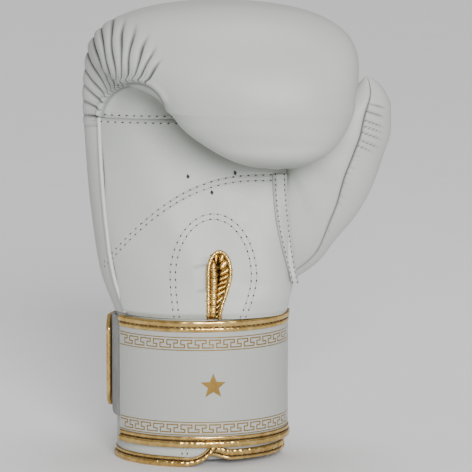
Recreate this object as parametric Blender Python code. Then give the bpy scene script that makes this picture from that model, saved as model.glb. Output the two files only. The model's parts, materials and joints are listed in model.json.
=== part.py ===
"""Right-hand boxing glove with a hook-and-loop wrist strap, modelled with Blender 4.5.

The glove stands on the hem of its cuff with the palm facing -Y, the thumb on +X and the
knuckles up.  Sizes are millimetres and the finished meshes are metres.

The hand part is one tube bent into a fist.  A place on it is given by
    station  0 wrist, 1 crease of the fingers, 2 end of the curl, 3 start of the rounded
             fingertip, 4 fingertip
    angle    round the section in degrees: 0 thumb side, 90 back, 180 little-finger side,
             270 palm side
    depth    distance in from the outer face
so every layer of the glove (leather, foam, lining) comes from the same shape.
"""

import math

import bmesh
import bpy
import numpy as np
from mathutils import Vector

METRES = 0.001

# Hand part
WRIST_HEIGHT = 98.5
HAND_LENGTH = 137.5
HAND_LEAN = 14.0
CURL_RADIUS = 33.0
FINGER_DROP = 22.0
FINGERTIP_ROUND = 15.0
SECTION_POWER = 2.2
PALM_THUMB_POWER = 3.0
PALM_THUMB_POWER_MORE = 0.0
PALM_SQUARE_STATIONS = (0.02, 0.2, 0.62, 0.95)
# station, little-finger side, thumb side, thickness to the back, thickness to the palm
HAND_SECTIONS = (
    (0.0, -56, 57, 40, 40),
    (0.17, -65, 61, 41, 40),
    (0.3, -68.5, 60, 42, 39),
    (0.66, -74, 61, 43, 33),
    (1.0, -76.5, 72, 44, 26),
    (1.25, -74, 93, 42, 26),
    (1.5, -69, 100, 32, 26),
    (1.72, -58, 102, 32, 26),
    (2.0, -21, 99, 30, 26),
    (2.5, -11, 95, 29, 25),
    (3.0, 3, 88, 27, 24),
    (3.67, 31, 68, 27, 24),
    (4.0, 49, 55, 27, 24),
)

# Leather, foam and lining
LEATHER = 1.4
LINING = 0.8
LAYER_GAP = 0.3
KNUCKLE_FOAM_OUTER = 12.3
KNUCKLE_FOAM_INNER = 11.7
FOAM_AT_WRIST = 0.25
FOAM_FULL_STATION = 0.4
PALM_FOAM = 4.5
GUSSET = 0.6

# Seams of the hand part
LITTLE_SEAM_ANGLE = 214.0
THUMB_SEAM_ANGLE = -25.0
SEAM_GAP_ANGLE = 1.5
SEAM_GAP_STATION = 0.006
FINGER_SEAM_STATION = 1.12
COVER_END_STATION = 3.98
INNER_FOAM_END_STATION = 2.5
FINGER_FOAM_END_STATION = 3.0
LINING_END_STATION = 2.0
LINING_EASE_ANGLE = 25.0
PALM_SEAM_TOP = 189.5
PALM_SEAM_FALL = 55.5
PALM_SEAM_REACH = 100.0
PALM_SEAM_TOP_X = 40.0
PALM_SEAM_POWER = 2.3
PIPING_RADIUS = 1.5
PIPING_STATIONS = (0.02, 1.0)

# Entry slit in the palm
SLIT_X = 12.5
SLIT_TOP = 140.0
SLIT_WIDE_HEIGHT = 127.0
SLIT_HALF_WIDTH = 8.0
SLIT_HALF_MOUTH = 5.0
SLIT_BINDING_RADIUS = 1.2
GUSSET_X = 10.0
GUSSET_HALF_WIDTH = 26.0
GUSSET_TOP = 163.0

# Grip bar, across the crease inside the fingers
GRIP_BAR_RADIUS = 6.0
GRIP_BAR_X = (-24.0, 46.0)
GRIP_BAR_GAP = 2.5
GRIP_BAR_TURN = 45.0

# Thumb: each section runs from a point by the fist to a point on the outer edge
# near x, near z, far x, far z, half thickness, middle y
THUMB_SECTIONS = (
    (62.6, 196, 62.6, 117, 17, 2),
    (63.2, 199, 78, 130, 19.5, 1),
    (63.7, 201, 89, 144.5, 21, 0),
    (64.2, 202.5, 103, 162, 21.5, -1),
    (65.2, 204.5, 113, 182, 21.5, -2),
    (67, 208, 120, 202, 21, -2.5),
    (72.5, 219, 124, 218, 19.5, -3),
    (81, 231, 123.8, 232, 16.5, -3.5),
    (94.5, 240, 120, 242, 12, -3.5),
    (103.5, 247, 113.5, 249, 5.5, -3.5),
)
THUMB_TIP = (108.5, 251.5)
THUMB_FOAM = 6.0
THUMB_PANEL_START_ANGLE = -30.0
THUMB_SEAM_ANGLES = (148.0, 106.0)
THUMB_SEAM_TURN = 0.45
THUMB_LEAST_HALF = 1.5
THUMB_SKIN_CLOSE = 0.9
THUMB_HOLE_HEIGHT = 160.0
THUMB_HOLE_Y = 4.0
THUMB_HOLE_HALF = (24.0, 9.0)
THUMB_TAPE = 1.2
THUMB_TAPE_HALF_WIDTH = 4.6
THUMB_TAPE_TOP = (51.0, 186.0)
THUMB_TAPE_END = (60.5, 121.0)
THUMB_BRIDGE_X = (80.0, 88.0)
THUMB_BRIDGE_Z = (219.0, 229.0)

# Cuff: an oval wall round the wrist, angles as on the hand part
CUFF_MIDDLE_X = -0.5
CUFF_HALF_WIDTH = 54.5
CUFF_HALF_DEPTH = 40.0
CUFF_WALL = 6.5
CUFF_GAP = 0.3
BACK_ANGLES = (-6.0, 186.0)
HEM_HEIGHT = 7.0
HEM_PROUD = 0.4
RIGHT_HEM_RISE = 4.5
FLAP_MEET_X = 10.0
FLAP_OVERLAP = 3.0
FLAP_EDGE = 2.4
FLAP_TAPER_ANGLE = 14.0
CUFF_GUSSET_HALF_ANGLE = 24.0
FLAP_GAP_ANGLE = 1.0
FLAP_HINGE_OUT = 1.8

# Wrist strap, outside the cuff
STRAP_CLEARANCE = 0.6
STRAP_BACKING = 1.0
STRAP_PANEL = 1.7
STRAP_PANEL_ANGLES = (207.0, 362.0)
STRAP_BOTTOM = 13.7
STRAP_TOP = 97.7
STRAP_BINDING_HEIGHT = 7.4
STRAP_BINDING_PROUD = 0.6
STRAP_HINGE_X = 56.0
ELASTIC = 2.0
ELASTIC_END_ANGLE = 177.0
ELASTIC_HEIGHTS = (29.0, 95.0)
TAB = 2.6
TAB_START_ANGLE = 179.0
TAB_END_ANGLE = 100.0
TAB_HEIGHTS = (33.6, 91.0)
TAB_CORNER = 7.0
TAB_BINDING_RADIUS = 1.9
HOOK = 1.0
LOOP = 1.2
PATCH_INSET = 6.0
LOOP_PATCH_ANGLE = 62.0

# Steps along each part of the tube and round it
STATION_STEPS = (6, 12, 2, 3)
BACK_STEPS = 14
PALM_STEPS = 10
THUMB_STEPS = 8
CUFF_STEP_ANGLE = 12.0

BLACK_FOAM = (0.05, 0.05, 0.055)
WHITE_LEATHER = (0.55, 0.565, 0.54)
GOLD_LEATHER = (0.62, 0.38, 0.09)
GREY_FABRIC = (0.22, 0.225, 0.22)
PALE_LINING = (0.35, 0.35, 0.34)


# Curves and shapes


def through(knots, at):
    """Values at `at` of a smooth curve through (place, value) knots, without overshoot."""
    x = np.array([knot[0] for knot in knots], float)
    y = np.array([knot[1] for knot in knots], float)
    slope = np.diff(y) / np.diff(x)
    same_way = slope[:-1] * slope[1:] > 0
    mean = 2 * slope[:-1] * slope[1:] / np.where(same_way, slope[:-1] + slope[1:], 1)
    tangent = np.concatenate(([slope[0]], np.where(same_way, mean, 0), [slope[-1]]))
    at = np.clip(at, x[0], x[-1])
    i = np.clip(np.searchsorted(x, at, "right") - 1, 0, len(x) - 2)
    step = x[i + 1] - x[i]
    t = (at - x[i]) / step
    rise = y[i + 1] - y[i]
    curve = (3 - 2 * t) * t * t * rise
    return y[i] + curve + step * t * (1 - t) * ((1 - t) * tangent[i] - t * tangent[i + 1])


def column(table, index):
    return [(row[0], row[index]) for row in table]


def turned(value, power):
    return np.sign(value) * np.abs(value) ** (2 / power)


def hand_middle(station, depth=0.0):
    """The tube's middle line: its y and z, and the y and z of the way to its back."""
    turn = np.pi * np.clip(station - 1, 0, 1)
    up = np.clip(station, 0, 1)
    tip = np.pi / 2 * np.clip(station - 3, 0, 1)
    y = HAND_LEAN * np.sin(up * np.pi / 2) - CURL_RADIUS * (1 - np.cos(turn))
    z = WRIST_HEIGHT + HAND_LENGTH * up + CURL_RADIUS * np.sin(turn)
    z = z - FINGER_DROP * np.clip(station - 2, 0, 1)
    z = z - np.maximum(FINGERTIP_ROUND - depth, 0.5) * np.sin(tip)
    return y, z, np.cos(turn), np.sin(turn)


def hand_reach(station, depth=0.0):
    """The section's middle x, half width, and thickness to the back and to the palm."""
    low = through(column(HAND_SECTIONS, 1), station)
    high = through(column(HAND_SECTIONS, 2), station)
    fade = np.cos(np.pi / 2 * np.clip(station - 3, 0, 1))
    back = through(column(HAND_SECTIONS, 3), station) - depth
    palm = through(column(HAND_SECTIONS, 4), station) - depth
    half = np.maximum((high - low) / 2 - depth, (high - low) * 0.08)
    return (low + high) / 2, half, np.maximum(back, 1) * fade, np.maximum(palm, 1) * fade


def thumb_side_power(station):
    """The palm section's power toward the thumb: squarest beside the thumb's root."""
    start, full, last, end = PALM_SQUARE_STATIONS
    rise = np.clip((station - start) / (full - start), 0, 1)
    fall = np.clip((station - last) / (end - last), 0, 1)
    share = rise * rise * (3 - 2 * rise) * (1 - fall * fall * (3 - 2 * fall))
    return PALM_THUMB_POWER + PALM_THUMB_POWER_MORE * share


def hand_face(station, angle, depth):
    """Points of the hand part at each station, angle in degrees and depth."""
    station, angle, depth = np.broadcast_arrays(station, np.radians(angle), depth)
    y, z, out_y, out_z = hand_middle(station, depth)
    middle, half, back, palm = hand_reach(station, depth)
    cos, sin = np.cos(angle), np.sin(angle)
    power = np.where((sin < 0) & (cos > 0), thumb_side_power(station), SECTION_POWER)
    x = middle + half * turned(cos, power)
    out = np.where(sin > 0, back, palm) * turned(sin, power)
    return np.stack([x, y + out * out_y, z + out * out_z], axis=-1)


def station_at(height):
    return (height - WRIST_HEIGHT) / HAND_LENGTH


def palm_point(x, height, depth):
    """The point of the palm side below the crease at this x and height."""
    station = station_at(height)
    y, _, _, _ = hand_middle(station)
    middle, half, _, palm = hand_reach(station, depth)
    share = np.clip(np.abs(x - middle) / half, 0, 0.995)
    power = np.where(x > middle, thumb_side_power(station), SECTION_POWER)
    reach = palm * (1 - share**power) ** (1 / power)
    return np.stack(np.broadcast_arrays(x, y - reach, height), axis=-1)


def foam_share(station):
    """How much of the knuckle foam's full thickness is there."""
    return through(((0, FOAM_AT_WRIST), (FOAM_FULL_STATION, 1), (4, 1)), station)


def knuckle_layers(station):
    """Depths of the foam's two layers and of the lining: (in, out) for each."""
    share = foam_share(station)
    outer = LEATHER + LAYER_GAP
    middle = outer + KNUCKLE_FOAM_OUTER * share
    inner = middle + LAYER_GAP
    last = inner + KNUCKLE_FOAM_INNER * share
    lining = last + 2 * LAYER_GAP
    return (outer, middle), (inner, last), (lining, lining + LINING)


def palm_foam_depth():
    """Depth of the palm's foam: behind the leather and the gusset of the slit."""
    return LEATHER + GUSSET + 4 * LAYER_GAP


def palm_lining_depth():
    return palm_foam_depth() + PALM_FOAM + LAYER_GAP


def stations_between(first, last):
    """Stations of the common grid from first to last."""
    grid = [0.0]
    for part, steps in enumerate(STATION_STEPS):
        grid += [part + (k + 1) / steps for k in range(steps)]
    inside = [s for s in grid if first + 0.01 < s < last - 0.01]
    return np.array([first, *inside, last])


def back_angles():
    return np.linspace(THUMB_SEAM_ANGLE, LITTLE_SEAM_ANGLE, BACK_STEPS + 1)


def palm_angles():
    first = LITTLE_SEAM_ANGLE + SEAM_GAP_ANGLE
    last = THUMB_SEAM_ANGLE + 360 - SEAM_GAP_ANGLE
    return np.linspace(first, last, PALM_STEPS + 1)


def cuff_face(angle, out, height):
    """Points of the cuff's oval at each angle in degrees, distance out and height."""
    angle, out, height = np.broadcast_arrays(np.radians(angle), out, height)
    x = CUFF_MIDDLE_X + (CUFF_HALF_WIDTH + out) * np.cos(angle)
    y = (CUFF_HALF_DEPTH + out) * np.sin(angle)
    return np.stack([x, y, height], axis=-1)


def cuff_angle_at(x):
    """The angle on the palm side where the cuff's outer face has this x."""
    return 360 - math.degrees(math.acos((x - CUFF_MIDDLE_X) / CUFF_HALF_WIDTH))


def cuff_angles(first, last):
    steps = max(2, round(abs(last - first) / CUFF_STEP_ANGLE))
    return np.linspace(first, last, steps + 1)


# Objects


def clear_scene():
    for obj in list(bpy.data.objects):
        bpy.data.objects.remove(obj)


def material(name, colour, roughness, metallic):
    made = bpy.data.materials.new(name)
    made.use_nodes = True
    made.diffuse_color = (*colour, 1)
    surface = made.node_tree.nodes["Principled BSDF"]
    surface.inputs["Base Color"].default_value = (*colour, 1)
    surface.inputs["Roughness"].default_value = roughness
    surface.inputs["Metallic"].default_value = metallic
    return made


class Glove:
    """The collections, the empties on the joints' axes and the finishes of the pieces."""

    def __init__(self):
        self.parts = self.collection("boxing_glove")
        self.cutters = self.collection("cutters")
        self.cutters.hide_render = True
        self.root = self.empty("glove_root", (0, 0, 0), None)

    def collection(self, name):
        made = bpy.data.collections.new(name)
        bpy.context.scene.collection.children.link(made)
        return made

    def empty(self, name, place, parent):
        made = bpy.data.objects.new(name, None)
        made.location = Vector(place) * METRES
        made.parent = parent
        self.parts.objects.link(made)
        return made

    def place(self, name, data, finish, pivot):
        """An object for this data, under the pivot's empty, or under the root."""
        made = bpy.data.objects.new(name, data)
        made.parent = pivot or self.root
        data.materials.append(material(name, *finish))
        self.parts.objects.link(made)
        return made

    def mesh(self, name, bm, finish, pivot=None):
        """A closed mesh from a bmesh in millimetres and glove coordinates."""
        bmesh.ops.remove_doubles(bm, verts=bm.verts, dist=0.001)
        bmesh.ops.recalc_face_normals(bm, faces=bm.faces)
        shift = pivot_place(pivot)
        for vert in bm.verts:
            vert.co = vert.co * METRES - shift
        data = bpy.data.meshes.new(name)
        bm.to_mesh(data)
        bm.free()
        return self.place(name, data, finish, pivot)

    def slab(self, name, outer, inner, finish, pivot=None, ring=False):
        """A wall between two grids of points of one size: rows, columns, xyz.

        With ring the columns close on themselves.
        """
        bm = bmesh.new()
        rows, columns = outer.shape[:2]
        sides = [
            [[bm.verts.new(point) for point in row] for row in side] for side in (outer, inner)
        ]
        across = columns if ring else columns - 1
        for side in sides:
            for r in range(rows - 1):
                for c in range(across):
                    n = (c + 1) % columns
                    bm.faces.new((side[r][c], side[r][n], side[r + 1][n], side[r + 1][c]))
        front, rear = sides
        for r in (0, rows - 1):
            for c in range(across):
                n = (c + 1) % columns
                bm.faces.new((front[r][c], front[r][n], rear[r][n], rear[r][c]))
        if not ring:
            for c in (0, columns - 1):
                for r in range(rows - 1):
                    bm.faces.new((front[r][c], front[r + 1][c], rear[r + 1][c], rear[r][c]))
        return self.mesh(name, bm, finish, pivot)

    def cup(self, name, outer, inner, finish, outer_end, inner_end):
        """A ring wall closed at its last row by a pole on each face."""
        bm = bmesh.new()
        columns = outer.shape[1]
        rims = []
        for rows, end in ((outer, outer_end), (inner, inner_end)):
            side = [[bm.verts.new(point) for point in row] for row in rows]
            pole = bm.verts.new(end)
            for r in range(len(side) - 1):
                for c in range(columns):
                    n = (c + 1) % columns
                    bm.faces.new((side[r][c], side[r][n], side[r + 1][n], side[r + 1][c]))
            for c in range(columns):
                bm.faces.new((side[-1][c], side[-1][(c + 1) % columns], pole))
            rims.append(side[0])
        for c in range(columns):
            n = (c + 1) % columns
            bm.faces.new((rims[0][c], rims[0][n], rims[1][n], rims[1][c]))
        return self.mesh(name, bm, finish)

    def tube(self, name, points, radius, finish, pivot=None, closed=False):
        """A round cord through these points, with filled ends."""
        shift = pivot_place(pivot)
        data = bpy.data.curves.new(name, "CURVE")
        data.dimensions = "3D"
        data.bevel_depth = radius * METRES
        data.bevel_resolution = 2
        data.use_fill_caps = not closed
        line = data.splines.new("POLY")
        line.points.add(len(points) - 1)
        for knot, point in zip(line.points, points):
            knot.co = (*(Vector(point) * METRES - shift), 1)
        line.use_cyclic_u = closed
        return self.place(name, data, finish, pivot)

    def prism(self, name, outline, low, high, along):
        """A closed cutter: an outline pushed along an axis from low to high."""
        bm = bmesh.new()
        ends = []
        for level in (low, high):
            points = [Vector(point) for point in outline]
            for point in points:
                point[along] = level
            ends.append([bm.verts.new(point) for point in points])
        count = len(outline)
        for k in range(count):
            n = (k + 1) % count
            bm.faces.new((ends[0][k], ends[0][n], ends[1][n], ends[1][k]))
        for end in ends:
            bm.faces.new(end)
        made = self.mesh(name, bm, FABRIC_FINISH)
        self.parts.objects.unlink(made)
        self.cutters.objects.link(made)
        made.hide_render = True
        made.display_type = "WIRE"
        return made

    def cut(self, obj, cutter):
        made = obj.modifiers.new(cutter.name, "BOOLEAN")
        made.operation = "DIFFERENCE"
        made.solver = "EXACT"
        made.object = cutter


def pivot_place(pivot):
    return Vector((0, 0, 0)) if pivot is None else Vector(pivot.location)


LEATHER_FINISH = (WHITE_LEATHER, 0.42, 0.0)
GOLD_FINISH = (GOLD_LEATHER, 0.38, 0.8)
FOAM_FINISH = (BLACK_FOAM, 0.9, 0.0)
FABRIC_FINISH = (GREY_FABRIC, 0.85, 0.0)
LINING_FINISH = (PALE_LINING, 0.8, 0.0)


# Hand part


def hand_layer(glove, name, stations, angles, depths, finish):
    """One layer of part of the tube, from the first depth in to the second."""
    rows = stations[:, None]
    outer = hand_face(rows, angles[None, :], depths[0])
    inner = hand_face(rows, angles[None, :], depths[1])
    return glove.slab(name, outer, inner, finish)


def make_covers(glove):
    skin = (0.0, LEATHER)
    whole = stations_between(0, COVER_END_STATION)
    curl = stations_between(FINGER_SEAM_STATION + SEAM_GAP_STATION, COVER_END_STATION)
    cover = hand_layer(glove, "striking_cover", whole, back_angles(), skin, LEATHER_FINISH)
    hand_layer(glove, "finger_underside_panel", curl, palm_angles(), skin, LEATHER_FINISH)
    return cover


def palm_seam_station(x):
    """The station of the curved seam across the palm."""
    away = np.maximum(PALM_SEAM_TOP_X - x, 0) / PALM_SEAM_REACH
    return station_at(PALM_SEAM_TOP - PALM_SEAM_FALL * away**PALM_SEAM_POWER)


def make_palm_panels(glove):
    """The leather of the palm, above and below its curved seam."""
    angles = palm_angles()
    top = station_at(PALM_SEAM_TOP)
    middle, half, _, _ = hand_reach(top)
    power = np.where(np.cos(np.radians(angles)) > 0, thumb_side_power(top), SECTION_POWER)
    seam = palm_seam_station(middle + half * turned(np.cos(np.radians(angles)), power))
    share = np.linspace(0, 1, STATION_STEPS[0] + 1)[:, None]
    low = (seam - SEAM_GAP_STATION / 2)[None, :]
    high = (seam + SEAM_GAP_STATION / 2)[None, :]
    panels = []
    spans = (
        ("lower_palm_panel", low * share),
        ("upper_palm_panel", high + (FINGER_SEAM_STATION - high) * share),
    )
    for name, stations in spans:
        outer = hand_face(stations, angles[None, :], 0.0)
        inner = hand_face(stations, angles[None, :], LEATHER)
        panels.append(glove.slab(name, outer, inner, LEATHER_FINISH))
    return panels[0]


def make_foam_and_lining(glove):
    """The knuckle foam in two layers, the palm and finger foam, and the lining."""
    back = back_angles()
    palm = palm_angles()
    whole = stations_between(0, COVER_END_STATION)
    knuckle = stations_between(0, INNER_FOAM_END_STATION)
    outer_depths, _, _ = knuckle_layers(whole[:, None])
    _, inner_depths, _ = knuckle_layers(knuckle[:, None])
    outer = hand_layer(glove, "knuckle_foam_outer", whole, back, outer_depths, FOAM_FINISH)
    inner = hand_layer(glove, "knuckle_foam_inner", knuckle, back, inner_depths, FOAM_FINISH)

    hand = stations_between(0, FINGER_SEAM_STATION)
    fingers = stations_between(FINGER_SEAM_STATION + SEAM_GAP_STATION, FINGER_FOAM_END_STATION)
    under = palm_foam_depth()
    hand_layer(glove, "palm_foam", hand, palm, (under, under + PALM_FOAM), FOAM_FINISH)
    hand_layer(glove, "finger_foam", fingers, palm, (under, under + PALM_FOAM), FOAM_FINISH)

    stations = stations_between(0, LINING_END_STATION)[:, None]
    angles = np.concatenate((back, palm))[None, :]
    past_seam = np.minimum(angles - LITTLE_SEAM_ANGLE, 360 + THUMB_SEAM_ANGLE - angles)
    ease = np.clip(past_seam / LINING_EASE_ANGLE, 0, 1)
    ease = ease * ease * (3 - 2 * ease)
    _, _, lining = knuckle_layers(stations)
    palm_depth = palm_lining_depth()
    faces = []
    ends = []
    for depth, palm_side in zip(lining, (palm_depth, palm_depth + LINING)):
        points = hand_face(stations, angles, depth + (palm_side - depth) * ease)
        faces.append(points)
        ends.append(points[-1].mean(axis=0))
    ends[0][2] -= LINING
    sleeve = glove.cup("hand_lining", *faces, LINING_FINISH, *ends)
    return outer, inner, sleeve


def make_grip_bar(glove):
    """The padded roll that the fingers close round, against the lining of the crease."""
    bare = CURL_RADIUS - hand_reach(1.5)[3]
    wall = palm_lining_depth() + LINING
    away = bare + wall + GRIP_BAR_GAP + GRIP_BAR_RADIUS
    turn = math.radians(GRIP_BAR_TURN)
    length = GRIP_BAR_X[1] - GRIP_BAR_X[0]
    bm = bmesh.new()
    bmesh.ops.create_cone(
        bm,
        cap_ends=True,
        segments=16,
        radius1=GRIP_BAR_RADIUS,
        radius2=GRIP_BAR_RADIUS,
        depth=length,
    )
    ends = [face for face in bm.faces if len(face.verts) > 4]
    rims = [edge for face in ends for edge in face.edges]
    bmesh.ops.bevel(bm, geom=rims, offset=GRIP_BAR_RADIUS / 3, segments=2, affect="EDGES")
    y = HAND_LEAN - CURL_RADIUS + away * math.cos(turn)
    z = WRIST_HEIGHT + HAND_LENGTH + away * math.sin(turn)
    for vert in bm.verts:
        vert.co = (GRIP_BAR_X[0] + length / 2 + vert.co.z, y + vert.co.x, z + vert.co.y)
    glove.mesh("grip_bar", bm, FOAM_FINISH)


def make_piping(glove):
    """The welt along the seam of the little-finger side, resting on the leather."""
    stations = np.linspace(*PIPING_STATIONS, 16)
    points = hand_face(stations, LITTLE_SEAM_ANGLE, -(PIPING_RADIUS + LAYER_GAP))
    glove.tube("side_piping", points, PIPING_RADIUS, LEATHER_FINISH)


# Entry slit


def slit_outline(margin):
    """The drop shape of the slit seen from the palm, wider by a margin, open downward."""
    half = SLIT_HALF_WIDTH + margin
    rise = SLIT_TOP + margin - SLIT_WIDE_HEIGHT
    foot = WRIST_HEIGHT
    arch = [math.radians(a) for a in range(0, 181, 15)]
    points = [(SLIT_X + SLIT_HALF_MOUTH + margin, foot)]
    points += [(SLIT_X + half * math.cos(a), SLIT_WIDE_HEIGHT + rise * math.sin(a)) for a in arch]
    points.append((SLIT_X - SLIT_HALF_MOUTH - margin, foot))
    return points


def make_slit(glove, panel):
    """Cuts the slit in the palm, binds its edge and puts the gusset behind it."""
    lowest = WRIST_HEIGHT - HEM_HEIGHT
    outline = slit_outline(0.0)
    outline[0] = (outline[0][0], lowest)
    outline[-1] = (outline[-1][0], lowest)
    points = [(x, 0, z) for x, z in outline]
    cutter = glove.prism("slit_cutter", points, -2 * CUFF_HALF_DEPTH, 0, along=1)
    glove.cut(panel, cutter)

    out = -(SLIT_BINDING_RADIUS + LAYER_GAP)
    edge = [palm_point(x, z, out) for x, z in slit_outline(SLIT_BINDING_RADIUS)]
    edge[0][2] += SLIT_BINDING_RADIUS
    edge[-1][2] += SLIT_BINDING_RADIUS
    glove.tube("slit_binding", edge, SLIT_BINDING_RADIUS, GOLD_FINISH)

    across = np.linspace(-1, 1, PALM_STEPS + 1)
    x = GUSSET_X + GUSSET_HALF_WIDTH * across
    arch_top = GUSSET_TOP - GUSSET_HALF_WIDTH * (1 - np.sqrt(1 - 0.98 * across**2))
    share = np.linspace(0, 1, STATION_STEPS[0] + 1)[:, None]
    height = WRIST_HEIGHT + (arch_top - WRIST_HEIGHT)[None, :] * share
    depth = LEATHER + 2 * LAYER_GAP
    outer = palm_point(x[None, :], height, depth)
    inner = palm_point(x[None, :], height, depth + GUSSET)
    glove.slab("slit_gusset", outer, inner, GOLD_FINISH)


# Thumb


def thumb_angles():
    """Angles of each ring's points: the inner panel's, then the outer cover's.

    Angle 0 faces the fist, 90 the palm, 180 the outer edge and 270 the back.
    """
    count = len(THUMB_SECTIONS)
    share = np.clip(np.arange(count) / (count - 1) / THUMB_SEAM_TURN, 0, 1)
    seam_low, seam_high = THUMB_SEAM_ANGLES
    seam = seam_low + (seam_high - seam_low) * share * share * (3 - 2 * share)
    start = np.full(count, THUMB_PANEL_START_ANGLE)
    panel = np.linspace(start, seam, THUMB_STEPS, axis=1)
    cover = np.linspace(seam + SEAM_GAP_ANGLE, start + 360 - SEAM_GAP_ANGLE, THUMB_STEPS, axis=1)
    return np.concatenate((panel, cover), axis=1)


def thumb_face(depth):
    """Rings of the thumb at this depth, and the point that closes its tip."""
    rings = []
    for section, turn in zip(THUMB_SECTIONS, np.radians(thumb_angles())):
        near_x, near_z, far_x, far_z, thick, y = section
        near = np.array([near_x, y, near_z])
        far = np.array([far_x, y, far_z])
        half = (far - near) / 2
        size = np.linalg.norm(half)
        if min(size, thick) - depth < THUMB_LEAST_HALF:
            break
        along = -half / size * (size - depth)
        side = np.array([0, -(thick - depth), 0])
        ring = (near + far) / 2 + np.outer(np.cos(turn), along) + np.outer(np.sin(turn), side)
        rings.append(ring)
    middle = rings[-1].mean(axis=0)
    tip = np.array([THUMB_TIP[0], THUMB_SECTIONS[-1][5], THUMB_TIP[1]])
    way = tip - middle
    reach = max(np.linalg.norm(way) - depth, THUMB_LEAST_HALF)
    return np.array(rings), middle + way / np.linalg.norm(way) * reach


def make_thumb(glove):
    skins = (
        ("thumb_inner_panel", slice(0, THUMB_STEPS)),
        ("thumb_outer_cover", slice(THUMB_STEPS, None)),
    )
    for name, columns in skins:
        faces = []
        for depth in (0.0, LEATHER):
            rings, tip = thumb_face(depth)
            toward = rings[-1] + (tip - rings[-1]) * THUMB_SKIN_CLOSE
            faces.append(np.concatenate((rings, toward[None]))[:, columns])
        glove.slab(name, *faces, LEATHER_FINISH)

    foam = LEATHER + LAYER_GAP
    lining = foam + THUMB_FOAM + LAYER_GAP
    layers = (
        ("thumb_foam", (foam, foam + THUMB_FOAM), FOAM_FINISH),
        ("thumb_lining", (lining, lining + LINING), LINING_FINISH),
    )
    for name, depths, finish in layers:
        faces, ends = zip(*(thumb_face(depth) for depth in depths))
        glove.cup(name, *faces, finish, *ends)


def make_thumb_hole(glove, walls):
    """Opens the hand part's side into the thumb."""
    half_z, half_y = THUMB_HOLE_HALF
    turns = [math.radians(a) for a in range(0, 360, 24)]
    outline = [
        (0, THUMB_HOLE_Y + half_y * math.cos(a), THUMB_HOLE_HEIGHT + half_z * math.sin(a))
        for a in turns
    ]
    far = THUMB_SECTIONS[0][0]
    cutter = glove.prism("thumb_hole_cutter", outline, far / 3, far + LEATHER, along=0)
    for wall in walls:
        glove.cut(wall, cutter)


def make_thumb_trim(glove):
    """The stitched tape over the thumb's seam and the bridge that locks the thumb."""
    top_x, top_z = THUMB_TAPE_TOP
    end_x, end_z = THUMB_TAPE_END
    share = np.linspace(0, 1, STATION_STEPS[0] + 1)[:, None]
    across = np.linspace(-1, 1, 4)[None, :] * THUMB_TAPE_HALF_WIDTH
    x = top_x + (end_x - top_x) * share**2 + across - THUMB_TAPE_HALF_WIDTH
    height = top_z + (end_z - top_z) * share + 0 * across
    inner = palm_point(x, height, -THUMB_TAPE)
    outer = inner - np.array([0, THUMB_TAPE, 0])
    glove.slab("thumb_seam_tape", outer, inner, LEATHER_FINISH)

    x = np.linspace(*THUMB_BRIDGE_X, 3)[None, :]
    height = np.linspace(*THUMB_BRIDGE_Z, 4)[:, None]
    station = 2 + (WRIST_HEIGHT + HAND_LENGTH - height) / FINGER_DROP
    y, _, _, _ = hand_middle(station)
    middle, half, _, palm = hand_reach(station)
    share = np.abs(x - middle) / half
    finger = y + palm * (1 - share**PALM_THUMB_POWER) ** (1 / PALM_THUMB_POWER)
    thumb = thumb_palm_side(x, height)
    outer = np.stack(np.broadcast_arrays(x, finger + 2 * LAYER_GAP, height), axis=-1)
    inner = np.stack(np.broadcast_arrays(x, thumb - 2 * LAYER_GAP, height), axis=-1)
    glove.slab("thumb_bridge", outer, inner, LEATHER_FINISH)


def thumb_palm_side(x, height):
    """The y of the thumb's palm side where its sections lie nearly flat."""
    flat = THUMB_SECTIONS[5:]
    levels = [((row[1] + row[3]) / 2, row) for row in flat]
    near = through([(level, row[0]) for level, row in levels], height)
    far = through([(level, row[2]) for level, row in levels], height)
    thick = through([(level, row[4]) for level, row in levels], height)
    y = through([(level, row[5]) for level, row in levels], height)
    share = np.clip((x - (near + far) / 2) / ((far - near) / 2), -1, 1)
    return y - thick * np.sqrt(1 - share**2)


# Cuff


def cuff_wall(glove, name, span, heights, outs, finish, pivot=None):
    """A stretch of the cuff's oval wall; outs are its outer and inner distance out."""
    angles = cuff_angles(*span)[None, :]
    levels = np.array(heights, float)[:, None]
    outer = cuff_face(angles, outs[0], levels)
    inner = cuff_face(angles, outs[1], levels)
    return glove.slab(name, outer, inner, finish, pivot)


def make_cuff_back(glove):
    top = WRIST_HEIGHT - CUFF_GAP
    above_hem = HEM_HEIGHT + CUFF_GAP
    leather = (0.0, -LEATHER)
    foam = (-LEATHER - LAYER_GAP, -CUFF_WALL)
    hem = (HEM_PROUD, -CUFF_WALL)
    cuff_wall(glove, "cuff_back", BACK_ANGLES, (above_hem, top), leather, LEATHER_FINISH)
    cuff_wall(glove, "cuff_foam", BACK_ANGLES, (above_hem, top), foam, FOAM_FINISH)
    cuff_wall(glove, "hem_binding_back", BACK_ANGLES, (0, HEM_HEIGHT), hem, GOLD_FINISH)

    meet = cuff_angle_at(FLAP_MEET_X)
    span = (meet - CUFF_GUSSET_HALF_ANGLE, meet + CUFF_GUSSET_HALF_ANGLE)
    behind = -CUFF_WALL - LAYER_GAP
    depths = (behind, behind - GUSSET)
    cuff_wall(glove, "cuff_gusset", span, (HEM_HEIGHT, top), depths, GOLD_FINISH)

    inside = behind - GUSSET - LAYER_GAP
    angles = np.linspace(0, 360, round(360 / CUFF_STEP_ANGLE), endpoint=False)[None, :]
    levels = np.array([HEM_HEIGHT / 2, top])[:, None]
    outer = cuff_face(angles, inside, levels)
    inner = cuff_face(angles, inside - LINING, levels)
    glove.slab("cuff_lining", outer, inner, LINING_FINISH, ring=True)


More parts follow.
